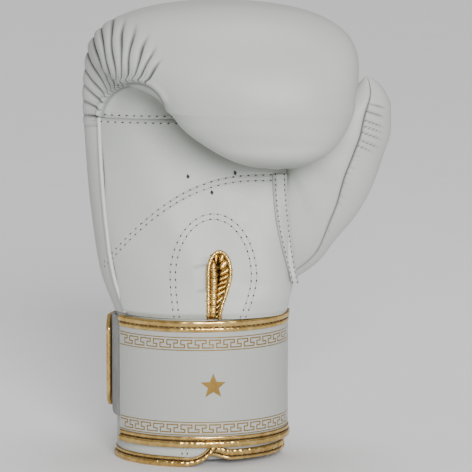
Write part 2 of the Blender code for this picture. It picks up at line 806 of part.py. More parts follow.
def make_flap(glove, side, pivot):
    """A padded half of the cuff's palm side and its hem; the left one lies outside."""
    meet = cuff_angle_at(FLAP_MEET_X)
    under = cuff_angle_at(FLAP_MEET_X - FLAP_OVERLAP)
    left = side == "left"
    if left:
        first, last = BACK_ANGLES[1] + FLAP_GAP_ANGLE, meet
    else:
        first, last = BACK_ANGLES[0] + 360 - FLAP_GAP_ANGLE, under
    rise = 0.0 if left else RIGHT_HEM_RISE
    taper_start = last - FLAP_TAPER_ANGLE if left else last + FLAP_TAPER_ANGLE
    angles = np.append(cuff_angles(first, taper_start), last)
    thin = np.zeros_like(angles)
    thin[-1] = 1
    lapped = (CUFF_WALL - FLAP_EDGE) * (meet - under) / FLAP_TAPER_ANGLE
    recess = FLAP_EDGE + lapped + LAYER_GAP
    hem_top = rise + HEM_HEIGHT
    pieces = (
        (f"cuff_flap_{side}", (hem_top + CUFF_GAP, WRIST_HEIGHT - CUFF_GAP), 0.0),
        (f"hem_binding_{side}", (rise, hem_top), HEM_PROUD),
    )
    for name, heights, proud in pieces:
        finish = GOLD_FINISH if proud else LEATHER_FINISH
        levels = np.array(heights)[:, None]
        edge_out = proud if left else -recess
        edge_in = -FLAP_EDGE if left else -CUFF_WALL
        outer = cuff_face(angles, proud + (edge_out - proud) * thin, levels)
        inner = cuff_face(angles, -CUFF_WALL + (edge_in + CUFF_WALL) * thin, levels)
        glove.slab(name, outer, inner, finish, pivot)


# Strap


def make_strap_panel(glove, pivot):
    first, last = STRAP_PANEL_ANGLES
    low = STRAP_BOTTOM + STRAP_BINDING_HEIGHT
    high = STRAP_TOP - STRAP_BINDING_HEIGHT
    inside = STRAP_CLEARANCE
    split = inside + STRAP_BACKING
    outside = split + LAYER_GAP + STRAP_PANEL
    body = (low + CUFF_GAP, high - CUFF_GAP)
    span = (first, last)
    backing = (split, inside)
    panel = (outside, split + LAYER_GAP)
    binding = (outside + STRAP_BINDING_PROUD, inside)
    cuff_wall(glove, "strap_backing", span, body, backing, FABRIC_FINISH, pivot)
    cuff_wall(glove, "strap_panel", span, body, panel, LEATHER_FINISH, pivot)
    edges = (("bottom", (STRAP_BOTTOM, low)), ("top", (high, STRAP_TOP)))
    for name, heights in edges:
        cuff_wall(glove, f"strap_{name}_binding", span, heights, binding, GOLD_FINISH, pivot)


def make_elastic(glove, pivot):
    span = (ELASTIC_END_ANGLE, STRAP_PANEL_ANGLES[0] - SEAM_GAP_ANGLE / 2)
    outs = (STRAP_CLEARANCE + LAYER_GAP + ELASTIC, STRAP_CLEARANCE + LAYER_GAP)
    cuff_wall(glove, "strap_elastic", span, ELASTIC_HEIGHTS, outs, FABRIC_FINISH, pivot)


def tab_edge():
    """Angle and height round the tab's edge, with cut-off corners."""
    low, high = TAB_HEIGHTS
    first, last = TAB_END_ANGLE, TAB_START_ANGLE
    corner = math.degrees(TAB_CORNER / CUFF_HALF_WIDTH)
    across = [first + corner + (last - first - 2 * corner) * k / 5 for k in range(6)]
    up = [low + TAB_CORNER, high - TAB_CORNER]
    path = [(angle, low) for angle in across]
    path += [(last, height) for height in up]
    path += [(angle, high) for angle in reversed(across)]
    path += [(first, height) for height in reversed(up)]
    return path


def make_tab(glove, pivot):
    """The gold-edged pull tab, and the hook patch on its inner face."""
    inside = STRAP_CLEARANCE + 2 * LAYER_GAP + ELASTIC
    middle = inside + TAB_BINDING_RADIUS
    edge = [cuff_face(angle, middle, height) for angle, height in tab_edge()]
    glove.tube("tab_binding", edge, TAB_BINDING_RADIUS, GOLD_FINISH, pivot, closed=True)

    inset = TAB_BINDING_RADIUS + LAYER_GAP
    turn = math.degrees(inset / CUFF_HALF_DEPTH)
    corner = math.degrees(TAB_CORNER / CUFF_HALF_WIDTH)
    first, last = TAB_END_ANGLE + turn, TAB_START_ANGLE - turn
    angles = cuff_angles(first, last)
    from_end = np.minimum(angles - first, last - angles)
    cut = TAB_CORNER * np.clip(1 - from_end / corner, 0, 1)
    low = TAB_HEIGHTS[0] + inset + cut
    high = TAB_HEIGHTS[1] - inset - cut
    levels = np.stack((low, high))
    outer = cuff_face(angles[None, :], middle + TAB / 2, levels)
    inner = cuff_face(angles[None, :], middle - TAB / 2, levels)
    glove.slab("strap_tab", outer, inner, LEATHER_FINISH, pivot)

    patch = math.degrees(PATCH_INSET / CUFF_HALF_DEPTH)
    hook_out = middle - TAB / 2 - LAYER_GAP
    span = (TAB_END_ANGLE + patch, ELASTIC_END_ANGLE - patch)
    heights = (TAB_HEIGHTS[0] + PATCH_INSET, TAB_HEIGHTS[1] - PATCH_INSET)
    hook = (hook_out, hook_out - HOOK)
    cuff_wall(glove, "hook_patch", span, heights, hook, FABRIC_FINISH, pivot)
    loop_span = (LOOP_PATCH_ANGLE, ELASTIC_END_ANGLE - patch)
    loop = (CUFF_GAP + LOOP, CUFF_GAP)
    cuff_wall(glove, "loop_patch", loop_span, heights, loop, FABRIC_FINISH)


# Assembly


def cuff_pivot(angle, out):
    x, y, _ = cuff_face(angle, out, 0.0)
    return float(x), float(y), 0.0


def stand_on_hem(glove):
    """Puts the middle of the glove's outer box over the origin, with the hem at z = 0."""
    bpy.context.view_layer.update()
    graph = bpy.context.evaluated_depsgraph_get()
    points = []
    for obj in glove.parts.objects:
        if obj.type == "EMPTY":
            continue
        shape = obj.evaluated_get(graph)
        data = shape.to_mesh()
        found = np.empty(len(data.vertices) * 3, np.float32)
        data.vertices.foreach_get("co", found)
        world = np.array(shape.matrix_world)
        points.append(found.reshape(-1, 3) @ world[:3, :3].T + world[:3, 3])
        shape.to_mesh_clear()
    points = np.concatenate(points)
    low, high = points.min(axis=0), points.max(axis=0)
    glove.root.location = (-(low[0] + high[0]) / 2, -(low[1] + high[1]) / 2, -low[2])


def main():
    clear_scene()
    glove = Glove()

    cover = make_covers(glove)
    lower_palm = make_palm_panels(glove)
    foam_and_lining = make_foam_and_lining(glove)
    make_grip_bar(glove)
    make_piping(glove)
    make_slit(glove, lower_palm)
    make_thumb(glove)
    make_thumb_trim(glove)
    make_thumb_hole(glove, (cover, *foam_and_lining))
    make_cuff_back(glove)

    right_end, left_end = BACK_ANGLES
    hinges = (("left", left_end + FLAP_GAP_ANGLE / 2), ("right", right_end - FLAP_GAP_ANGLE / 2))
    for side, angle in hinges:
        place = cuff_pivot(angle, FLAP_HINGE_OUT)
        make_flap(glove, side, glove.empty(f"flap_{side}_axis", place, glove.root))

    proud = STRAP_CLEARANCE + STRAP_BACKING + LAYER_GAP + STRAP_PANEL + STRAP_BINDING_PROUD
    strap_axis = glove.empty("strap_axis", (STRAP_HINGE_X, 0, 0), glove.root)
    make_strap_panel(glove, strap_axis)
    elastic_place = cuff_pivot(STRAP_PANEL_ANGLES[0], proud + LAYER_GAP)
    make_elastic(glove, glove.empty("elastic_axis", elastic_place, glove.root))
    tab_place = cuff_pivot(TAB_START_ANGLE + 3, STRAP_CLEARANCE + LAYER_GAP + ELASTIC)
    make_tab(glove, glove.empty("tab_axis", tab_place, glove.root))

    stand_on_hem(glove)


main()
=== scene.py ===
"""Right-hand boxing glove: the leather, bindings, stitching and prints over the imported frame.

The glove stands on its cuff with the palm to -Y and the thumb to +X.  Shapes are worked out
in millimetres about the wrist's middle line and placed by the frame's own cuff lining.
"""

from __future__ import annotations

import json
import logging
import math
from dataclasses import dataclass
from enum import Enum

import bpy
import numpy as np
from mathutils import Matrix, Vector

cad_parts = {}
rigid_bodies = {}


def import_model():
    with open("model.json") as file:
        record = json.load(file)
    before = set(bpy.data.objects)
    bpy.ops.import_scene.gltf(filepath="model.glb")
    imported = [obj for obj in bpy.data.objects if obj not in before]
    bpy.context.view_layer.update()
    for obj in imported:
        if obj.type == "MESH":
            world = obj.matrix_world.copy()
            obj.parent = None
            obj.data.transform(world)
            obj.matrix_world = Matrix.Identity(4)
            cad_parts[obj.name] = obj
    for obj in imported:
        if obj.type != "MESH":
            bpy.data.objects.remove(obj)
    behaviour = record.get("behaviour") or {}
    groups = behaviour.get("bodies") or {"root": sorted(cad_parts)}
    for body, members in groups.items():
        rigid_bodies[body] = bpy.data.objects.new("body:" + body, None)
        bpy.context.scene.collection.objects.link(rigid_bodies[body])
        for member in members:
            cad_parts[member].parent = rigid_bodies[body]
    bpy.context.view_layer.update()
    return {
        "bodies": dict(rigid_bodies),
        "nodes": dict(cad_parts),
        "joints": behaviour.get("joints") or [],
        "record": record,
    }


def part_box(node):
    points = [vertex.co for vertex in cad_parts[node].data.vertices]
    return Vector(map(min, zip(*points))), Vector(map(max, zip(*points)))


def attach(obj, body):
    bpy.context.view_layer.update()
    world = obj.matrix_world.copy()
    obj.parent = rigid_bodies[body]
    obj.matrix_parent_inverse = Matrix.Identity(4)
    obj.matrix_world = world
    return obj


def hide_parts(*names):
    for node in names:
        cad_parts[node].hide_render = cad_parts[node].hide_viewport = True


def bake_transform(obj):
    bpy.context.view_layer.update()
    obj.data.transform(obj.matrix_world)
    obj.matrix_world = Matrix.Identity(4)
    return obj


LOG = logging.getLogger("boxing_glove")
METRES = 0.001
Array = np.ndarray


# ---------------------------------------------------------------- curves and meshes


def through(knots: tuple[tuple[float, float], ...], at: Array) -> Array:
    """A smooth curve through knots without overshoot.

    On each stretch the value is the cubic that meets both knots with tangents that are the
    harmonic mean of the slopes on either side, or zero where the slope changes sign.

    Args:
        knots: (place, value) pairs in rising order of place.
        at: where to read the curve; places outside the knots take the end values.

    Returns:
        The curve's values at those places.
    """
    x, y = np.array(knots, float).T
    slope = np.diff(y) / np.diff(x)
    same = slope[:-1] * slope[1:] > 0
    mean = 2 * slope[:-1] * slope[1:] / np.where(same, slope[:-1] + slope[1:], 1)
    tangent = np.concatenate(([slope[0]], np.where(same, mean, 0), [slope[-1]]))
    at = np.clip(at, x[0], x[-1])
    i = np.clip(np.searchsorted(x, at, "right") - 1, 0, len(x) - 2)
    step = x[i + 1] - x[i]
    t = (at - x[i]) / step
    cubic = (3 - 2 * t) * t * t * (y[i + 1] - y[i])
    return y[i] + cubic + step * t * (1 - t) * ((1 - t) * tangent[i] - t * tangent[i + 1])


def ease(value: Array, low: float, high: float) -> Array:
    """Zero below low, one above high, and the cubic 3t^2 - 2t^3 between them."""
    t = np.clip((value - low) / (high - low), 0, 1)
    return t * t * (3 - 2 * t)


def ripple(*waves: Array) -> Array:
    """The mean of the sines of several phases, a cheap smooth unevenness."""
    return sum(np.sin(wave) for wave in waves) / len(waves)


def unit(vectors: Array) -> Array:
    """Each vector divided by its own length."""
    return vectors / np.maximum(np.linalg.norm(vectors, axis=-1, keepdims=True), 1e-9)


def grid_faces(rows: int, columns: int, ring: bool, start: int = 0) -> Array:
    """Four corners of each face of a grid, as vertex numbers.

    Args:
        rows: number of rows of vertices.
        columns: number of vertices in a row.
        ring: whether the last column joins the first.
        start: number of the first vertex.

    Returns:
        An array of faces by four.
    """
    r, c = np.meshgrid(np.arange(rows - 1), np.arange(columns if ring else columns - 1))
    r, c = r.ravel(), c.ravel()
    n = (c + 1) % columns
    corners = (r * columns + c, r * columns + n, (r + 1) * columns + n, (r + 1) * columns + c)
    return np.stack(corners, axis=1) + start


def mesh_of(name: str, points: Array, faces: list[Array], shade: Array | None) -> bpy.types.Mesh:
    """A mesh in metres whose faces point outwards.

    Args:
        name: the mesh's name.
        points: vertices in millimetres, any grid shape with xyz last.
        faces: arrays of vertex numbers, one array for each number of corners.
        shade: darkening from 0 to 1 for each vertex, kept as the attribute "shade".

    Returns:
        The mesh.  If its signed volume, the sum of p0 . (p1 x p2) / 6 over a fan of its
        faces, is negative, all of its faces are turned round.
    """
    points = points.reshape(-1, 3) * METRES
    volume = 0.0
    for corners in faces:
        for k in range(1, corners.shape[1] - 1):
            a, b, c = points[corners[:, 0]], points[corners[:, k]], points[corners[:, k + 1]]
            volume += float(np.einsum("ij,ij->", a, np.cross(b, c)))
    if volume < 0:
        faces = [corners[:, ::-1] for corners in faces]
    mesh = bpy.data.meshes.new(name)
    mesh.vertices.add(len(points))
    mesh.vertices.foreach_set("co", points.ravel())
    counts = np.concatenate([np.full(len(c), c.shape[1]) for c in faces])
    mesh.loops.add(int(counts.sum()))
    mesh.loops.foreach_set("vertex_index", np.concatenate([c.ravel() for c in faces]))
    mesh.polygons.add(len(counts))
    mesh.polygons.foreach_set("loop_start", np.concatenate(([0], np.cumsum(counts)[:-1])))
    mesh.update(calc_edges=True)
    mesh.validate()
    mesh.shade_smooth()
    mesh.set_sharp_from_angle(angle=math.radians(55))
    values = np.zeros(len(points)) if shade is None else np.clip(shade.ravel(), 0, 1)
    mesh.attributes.new("shade", "FLOAT", "POINT").data.foreach_set("value", values)
    return mesh


def wall(name: str, outer: Array, inner: Array, shade: Array | None = None,
         ring: bool = False) -> bpy.types.Mesh:
    """A closed wall between two grids of one size, with its rims filled.

    Args:
        name: the mesh's name.
        outer: rows by columns by xyz, the outer face.
        inner: the same grid on the inner face.
        shade: rows by columns, darkening of the outer face.
        ring: whether the columns close on themselves.

    Returns:
        The mesh.
    """
    rows, columns = outer.shape[:2]
    count = rows * columns
    front = grid_faces(rows, columns, ring)
    rear = grid_faces(rows, columns, ring, count)[:, ::-1]
    c = np.arange(columns if ring else columns - 1)
    n = (c + 1) % columns
    last = (rows - 1) * columns
    rims = [
        np.stack((n, c, c + count, n + count), axis=1),
        np.stack((last + c, last + n, last + n + count, last + c + count), axis=1),
    ]
    if not ring:
        r = np.arange(rows - 1) * columns
        rims.append(np.stack((r, r + columns, r + columns + count, r + count), axis=1))
        e = r + columns - 1
        rims.append(np.stack((e + columns, e, e + count, e + columns + count), axis=1))
    painted_shade = None if shade is None else np.concatenate((shade.ravel(), shade.ravel()))
    return mesh_of(name, np.concatenate((outer, inner)), [np.concatenate((front, rear, *rims))], painted_shade)


def rod(name: str, rings: Array, closed: bool = False, shade: Array | None = None) -> bpy.types.Mesh:
    """A tube through rings of points, its ends filled, or joined end to end if closed."""
    rows, columns = rings.shape[:2]
    if closed:
        rings = np.concatenate((rings, rings[:1]))
        sides = grid_faces(rows + 1, columns, True) % (rows * columns)
        return mesh_of(name, rings[:-1], [sides], shade)
    sides = grid_faces(rows, columns, True)
    caps = np.stack((np.arange(columns)[::-1], (rows - 1) * columns + np.arange(columns)))
    return mesh_of(name, rings, [sides, caps], shade)


def along(path: Array, up: Array, across: Array, rise: Array, closed: bool = False) -> Array:
    """A flat profile carried along a path.

    Each ring is the path's point plus across times the sideways direction plus rise times
    the upward one, where sideways is the cross product of the path's way and up.

    Args:
        path: points by xyz.
        up: directions by xyz, roughly square to the path.
        across: the profile's sideways places, or points by profile.
        rise: the profile's upward places, or points by profile.
        closed: whether the path's ends meet.

    Returns:
        Points by profile by xyz.
    """
    if closed:
        way = unit(np.roll(path, -1, axis=0) - np.roll(path, 1, axis=0))
    else:
        way = unit(np.gradient(path, axis=0))
    side = unit(np.cross(way, up))
    up = unit(np.cross(side, way))
    across, rise = np.broadcast_arrays(across, rise)
    across = np.broadcast_to(across, (len(path), across.shape[-1]))
    rise = np.broadcast_to(rise, (len(path), rise.shape[-1]))
    return path[:, None] + across[..., None] * side[:, None] + rise[..., None] * up[:, None]


def round_profile(width: float, height: float, count: int = 12, power: float = 2.0) -> tuple[Array, Array]:
    """Half-width and half-height of a rounded oval: sign(c)|c|^(2/power) of a turn."""
    turn = np.linspace(0, 2 * np.pi, count, endpoint=False)
    c, s = np.cos(turn), np.sin(turn)
    shape = 2 / power
    return width * np.sign(c) * np.abs(c) ** shape, height * np.sign(s) * np.abs(s) ** shape


def spaced(path: Array, pitch: float, *others: Array) -> tuple[Array, ...]:
    """Points at an even distance along a path, with other values read at the same places."""
    run = np.concatenate(([0], np.cumsum(np.linalg.norm(np.diff(path, axis=0), axis=1))))
    count = max(2, round(run[-1] / pitch) + 1)
    at = np.linspace(0, run[-1], count)
    rows = [np.stack([np.interp(at, run, column) for column in value.T], axis=1) for value in (path, *others)]
    return tuple(rows)


def finer(x: Array, z: Array, step: float) -> tuple[Array, Array]:
    """The same line with extra points between its corners, at most a step apart."""
    count = np.maximum(1, np.ceil(np.hypot(np.diff(x), np.diff(z)) / step).astype(int))
    place = np.concatenate([*(i + np.arange(n) / n for i, n in enumerate(count)), [len(x) - 1.0]])
    knots = np.arange(len(x))
    return np.interp(place, knots, x), np.interp(place, knots, z)


def copies(name: str, centres: Array, way: Array, up: Array,
           size: tuple[float, float, float]) -> bpy.types.Mesh:
    """Many small closed ovals in one mesh, one at each centre.

    Args:
        name: the mesh's name.
        centres: places by xyz.
        way: direction of each oval's length.
        up: direction of each oval's height.
        size: half length, half width and half height.

    Returns:
        One mesh.  An oval's point is centre + a way + b side + c up with (a, b, c) on an
        ellipsoid of five rings of six points and two poles.
    """
    lat = np.linspace(-0.42, 0.42, 3)[:, None] * np.pi
    lon = np.linspace(0, 2 * np.pi, 6, endpoint=False)[None, :]
    body = np.stack((np.sin(lat) + 0 * lon, np.cos(lat) * np.cos(lon), np.cos(lat) * np.sin(lon)), -1)
    shape = np.concatenate((body.reshape(-1, 3), [[-1, 0, 0], [1, 0, 0]])) * size
    way = unit(way)
    side = unit(np.cross(way, up))
    up = np.cross(side, way)
    frame = np.stack((way, side, up), axis=1)
    points = centres[:, None] + np.einsum("pk,nkx->npx", shape, frame)
    quads = grid_faces(3, 6, True)
    c = np.arange(6)
    n = (c + 1) % 6
    low = np.stack((n, c, np.full(6, 18)), axis=1)
    high = np.stack((12 + c, 12 + n, np.full(6, 19)), axis=1)
    step = (np.arange(len(centres)) * 20)[:, None, None]
    return mesh_of(name, points, [(quads + step).reshape(-1, 4),
                                  (np.stack((*low, *high)) + step).reshape(-1, 3)], None)


# ---------------------------------------------------------------- finishes


class Value:
    """A number socket of a shader.  Arithmetic on it adds Math nodes."""

    def __init__(self, graph: Graph, socket: bpy.types.NodeSocket) -> None:
        """Keeps the graph and the socket."""
        self.graph = graph
        self.socket = socket

    def math(self, operation: str, *values: object) -> Value:
        """One Math node on these values."""
        node = self.graph.node("ShaderNodeMath", {"operation": operation}, dict(enumerate(values)))
        return Value(self.graph, node.outputs[0])

    def __add__(self, other: object) -> Value:
        """self + other"""
        return self.math("ADD", self, other)

    def __radd__(self, other: object) -> Value:
        """other + self"""
        return self.math("ADD", other, self)

    def __sub__(self, other: object) -> Value:
        """self - other"""
        return self.math("SUBTRACT", self, other)

    def __rsub__(self, other: object) -> Value:
        """other - self"""
        return self.math("SUBTRACT", other, self)

    def __mul__(self, other: object) -> Value:
        """self * other"""
        return self.math("MULTIPLY", self, other)

    def __rmul__(self, other: object) -> Value:
        """other * self"""
        return self.math("MULTIPLY", other, self)

    def clipped(self) -> Value:
        """The value kept between 0 and 1."""
        return self.math("MAXIMUM", self.math("MINIMUM", self, 1.0), 0.0)

    def sine(self) -> Value:
        """The sine of the value."""
        return self.math("SINE", self)


class Graph:
    """A material's node tree around one Principled surface."""

    def __init__(self, name: str) -> None:
        """Starts a material with this name."""
        self.material = bpy.data.materials.new(name)
        self.material.use_nodes = True
        self.tree = self.material.node_tree
        self.surface = self.tree.nodes["Principled BSDF"]
        self.place = self.node("ShaderNodeTexCoord", {}, {}).outputs["Object"]

    def node(self, kind: str, settings: dict[str, object], inputs: dict[object, object]) -> bpy.types.Node:
        """Adds a node.

        Args:
            kind: the node's type.
            settings: attributes that are set first, such as a Math node's operation.
            inputs: sockets by name or number, with a number, colour, socket or Value each.

        Returns:
            The node.
        """
        node = self.tree.nodes.new(kind)
        for key, value in settings.items():
            setattr(node, key, value)
        for key, value in inputs.items():
            self.feed(node.inputs[key], value)
        return node

    def feed(self, target: bpy.types.NodeSocket, value: object) -> None:
        """Links a socket or Value to the target, or sets the number or colour on it."""
        if isinstance(value, Value):
            value = value.socket
        if isinstance(value, bpy.types.NodeSocket):
            self.tree.links.new(value, target)
        else:
            target.default_value = value

    def noise(self, size_mm: float, detail: float = 3.0,
              stretch: tuple[float, float, float] = (1, 1, 1)) -> Value:
        """Noise whose blobs are about size_mm across, stretched along the axes."""
        spread = self.node("ShaderNodeMapping", {}, {"Vector": self.place, "Scale": stretch})
        sizes = {"Vector": spread.outputs[0], "Scale": 1000 / size_mm, "Detail": detail}
        return Value(self, self.node("ShaderNodeTexNoise", {}, sizes).outputs[0])

    def cells(self, size_mm: float) -> Value:
        """Distance to the nearest point of a pebbled pattern about size_mm across."""
        sizes = {"Vector": self.place, "Scale": 1000 / size_mm}
        return Value(self, self.node("ShaderNodeTexVoronoi", {}, sizes).outputs["Distance"])

    def attribute(self, name: str) -> Value:
        """A number kept on the mesh."""
        return Value(self, self.node("ShaderNodeAttribute", {"attribute_name": name}, {}).outputs["Fac"])

    def axis(self, index: int) -> Value:
        """The x, y or z of the place on the object, in metres."""
        split = self.node("ShaderNodeSeparateXYZ", {}, {0: self.place})
        return Value(self, split.outputs[index])

    def mix(self, factor: object, low: object, high: object) -> bpy.types.NodeSocket:
        """A colour from low to high."""
        inputs = {0: factor, 6: low, 7: high}
        return self.node("ShaderNodeMix", {"data_type": "RGBA"}, inputs).outputs[2]

    def bump(self, height: Value, depth_mm: float, strength: float = 1.0) -> None:
        """Feeds the surface's Normal from a height between 0 and 1."""
        inputs = {"Height": height, "Distance": depth_mm * METRES, "Strength": strength}
        self.feed(self.surface.inputs["Normal"], self.node("ShaderNodeBump", {}, inputs).outputs[0])

    def set(self, **values: object) -> None:
        """Sets or links the surface's sockets, with underscores for spaces."""
        for key, value in values.items():
            self.feed(self.surface.inputs[key.replace("_", " ")], value)


Colour = tuple[float, float, float]


@dataclass(frozen=True)
class Leather:
    """Coated leather with a fine grain and soft creases, with painted shade in its hollows and creases from
    the mesh's shade.
    """

    name: str = "glove_leather"
    colour: Colour = (0.50, 0.52, 0.485)
    shadow: Colour = (0.37, 0.385, 0.355)
    roughness: float = 0.44
    grain_mm: float = 0.9
    grain_depth_mm: float = 0.045

    def material(self) -> bpy.types.Material:
        """Colour and roughness from two noises and the mesh's painted shade, grain from cells."""
        g = Graph(self.name)
        cloud = g.noise(38, 4)
        grain = g.cells(self.grain_mm)
        fine = g.noise(0.35, 2)
        hollow_and_painted_shade = g.attribute("shade").clipped()
        base = g.mix((cloud * 0.5 + 0.05).clipped(), (*self.colour, 1), (*self.shadow, 1))
        # Painted shade: the near-black colour that the mesh's shade darkens the leather toward.
        painted_shade = tuple(c * 0.16 for c in self.shadow)
        g.set(Base_Color=g.mix(hollow_and_painted_shade, base, (*painted_shade, 1)))
        g.set(Roughness=self.roughness + (g.noise(6, 3) - 0.5) * 0.14 + hollow_and_painted_shade * 0.2)
        g.set(Specular_IOR_Level=0.42)
        crease = g.noise(4.5, 4, (1, 1, 1.8))
        g.bump(grain * 0.7 + fine * 0.3 + crease * 1.3, self.grain_depth_mm)
        return g.material


@dataclass(frozen=True)
class GoldLeather:
    """Gold foil leather, crumpled where it is turned over an edge."""

    name: str = "gold_foil"
    colour: Colour = (0.80, 0.55, 0.19)
    crumple_shade: Colour = (0.26, 0.14, 0.03)
    roughness: float = 0.27
    crumple_mm: float = 3.2
    crumple_depth_mm: float = 0.35

    def material(self) -> bpy.types.Material:
        """Metal colour that falls to painted shade in the crumples' low places and where the mesh's shade is
        high, with crumples in the bump.
        """
        g = Graph(self.name)
        crumple = g.noise(self.crumple_mm, 4, (1, 1, 0.6))
        hollow_and_painted_shade = g.attribute("shade").clipped()
        # Painted shade in the crumples: darker gold where the crumple is low.
        gold_with_crumple_shade = g.mix((crumple * 1.6 - 0.35).clipped(), (*self.crumple_shade, 1), (*self.colour, 1))
        # Painted shade: near-black gold where the mesh's shade is high.
        g.set(Base_Color=g.mix(hollow_and_painted_shade, gold_with_crumple_shade, (0.05, 0.022, 0.004, 1)))
        g.set(Metallic=0.95)
        g.set(Roughness=self.roughness + (g.noise(1.2, 2) - 0.5) * 0.2)
        g.bump(crumple + g.noise(0.9, 2) * 0.05, self.crumple_depth_mm)
        return g.material


@dataclass(frozen=True)
class Print:
    """A thin metallic ink."""

    name: str
    colour: Colour
    metallic: float = 0.35
    roughness: float = 0.42

    def material(self) -> bpy.types.Material:
        """Ink that is a little worn, from a fine noise."""
        g = Graph(self.name)
        worn = g.noise(1.6, 3)
        faded = tuple(c * 0.72 for c in self.colour)
        g.set(Base_Color=g.mix((worn * 1.4 - 0.3).clipped(), (*faded, 1), (*self.colour, 1)))
        g.set(Metallic=self.metallic)
        g.set(Roughness=self.roughness + (worn - 0.5) * 0.2)
        g.bump(g.noise(0.5, 2), 0.03)
        return g.material


@dataclass(frozen=True)
class Cloth:
    """Woven or brushed cloth."""

    name: str
    colour: Colour
    shadow: Colour
    thread_mm: float = 0.7
    depth_mm: float = 0.12
    fuzz: float = 0.3

    def material(self) -> bpy.types.Material:
        """Crossed sine threads broken up by noise, with fuzz from a finer noise."""
        g = Graph(self.name)
        turn = 2 * math.pi / (self.thread_mm * METRES)
        round_way = (g.axis(0) + g.axis(1)) * turn
        weave = round_way.sine() * (g.axis(2) * turn).sine() * 0.5 + 0.5
        fuzz = g.noise(0.28, 3)
        height = weave * (1 - self.fuzz) + fuzz * self.fuzz
        # Painted shade where the weave is low, mixed with random tone from a slow noise.
        tint = g.mix((height * 0.8 + (g.noise(9, 3) - 0.5) * 0.7).clipped(), (*self.shadow, 1),
                     (*self.colour, 1))
        g.set(Base_Color=tint, Roughness=0.88 + (fuzz - 0.5) * 0.1)
        g.set(Sheen_Weight=0.25)
        g.bump(height, self.depth_mm)
        return g.material


@dataclass(frozen=True)
class Foam:
    """Closed-cell padding foam."""

    name: str = "closed_cell_foam"
    colour: Colour = (0.05, 0.052, 0.056)

    def material(self) -> bpy.types.Material:
        """Small pores from cells over a soft unevenness, with painted shade in the pores."""
        g = Graph(self.name)
        pores = g.cells(1.3)
        pale = tuple(c * 1.7 for c in self.colour)
        g.set(Base_Color=g.mix((pores * 0.9).clipped(), (*self.colour, 1), (*pale, 1)))
        g.set(Roughness=0.9 + (pores - 0.5) * 0.08)
        g.bump(pores + g.noise(5, 2) * 0.5, 0.25)
        return g.material


@dataclass(frozen=True)
class Thread:
    """Twisted sewing thread."""

    name: str
    colour: Colour

    def material(self) -> bpy.types.Material:
        """Short ridges of the twist over a plain thread colour, with painted shade in the grooves between
        them.
        """
        g = Graph(self.name)
        twist = ((g.axis(0) + g.axis(1) + g.axis(2)) * (2 * math.pi / (0.45 * METRES))).sine() * 0.5 + 0.5
        # Painted shade in the twist's grooves.
        painted_shade = tuple(c * 0.6 for c in self.colour)
        g.set(Base_Color=g.mix(twist, (*painted_shade, 1), (*self.colour, 1)))
        g.set(Roughness=0.6 + (twist - 0.5) * 0.1)
        g.bump(twist, 0.08)
        return g.material


class Finishes(Enum):
    """Every finish of the glove."""

    LEATHER = Leather()
    CUFF_LEATHER = Leather("cuff_leather", (0.46, 0.475, 0.445), (0.35, 0.36, 0.335), 0.46)
    STRAP_LEATHER = Leather("strap_leather", (0.40, 0.415, 0.385), (0.33, 0.345, 0.32), 0.38, 0.7, 0.03)
    GOLD = GoldLeather()
    GOLD_SMOOTH = GoldLeather("gold_binding", (0.84, 0.60, 0.23), (0.40, 0.23, 0.055), 0.22, 6.0, 0.16)
    WELT = Leather("welt_leather", (0.58, 0.60, 0.565), (0.45, 0.46, 0.435), 0.40)
    GOLD_PRINT = Print("gold_print", (0.36, 0.22, 0.055), 0.8, 0.32)
    LOOP = Cloth("loop_tape", (0.33, 0.335, 0.32), (0.12, 0.12, 0.115), 1.1, 0.5, 0.85)
    HOOK = Cloth("hook_tape", (0.30, 0.30, 0.29), (0.10, 0.10, 0.10), 1.5, 0.4, 0.3)
    BACKING = Cloth("strap_backing_cloth", (0.24, 0.24, 0.235), (0.1, 0.1, 0.1), 0.8, 0.15, 0.3)
    LINING = Cloth("glove_lining_weave", (0.36, 0.36, 0.345), (0.2, 0.2, 0.19), 0.8, 0.14, 0.25)
    FOAM = Foam()
    THREAD = Thread("white_thread", (0.70, 0.71, 0.67))
    DARK_THREAD = Thread("brown_thread", (0.075, 0.045, 0.02))
    # Needle and vent holes are near-black ovals of painted shade.
    HOLE_SHADE = Print("needle_hole_painted_shade", (0.035, 0.035, 0.035), 0.0, 0.8)

    def made(self) -> bpy.types.Material:
        """The finish's material, made once."""
        return bpy.data.materials.get(self.value.name) or self.value.material()


# ---------------------------------------------------------------- the hand's shape


@dataclass(frozen=True)
class Piece:
    """Where a new piece belongs.

    Attributes:
        body: the body it rides on.
        finish: what it is made of.
        stands_for: the frame's nodes that it replaces.
        slot: the record's material slot; not used.
        fill: how tight its padding is, if it is a padded piece; not used.
        across: for leather over a hinge, where its turn starts and ends beside the glove's body; only whether
            it is given is read, and then the piece is baked in place instead of riding on its body.
    """

    body: str
    finish: Finishes
    stands_for: tuple[str, ...] = ()
    slot: str = "white_leather"
    fill: float | None = None
    across: tuple[Vector, Vector] | None = None

    def place(self, mesh: bpy.types.Mesh) -> bpy.types.Object:
        """Puts the mesh in the scene as this piece, gives it its finish, puts it on its body or bakes it in
        place, and hides the frame's nodes that it replaces.
        """
        obj = bpy.data.objects.new(mesh.name, mesh)
        bpy.context.scene.collection.objects.link(obj)
        mesh.materials.append(self.finish.made())
        if self.across:
            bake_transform(obj)
        else:
            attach(obj, self.body)
        if self.stands_for:
            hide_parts(*self.stands_for)
        LOG.info("%s: %d faces on %s", obj.name, len(mesh.polygons), self.body)
        return obj


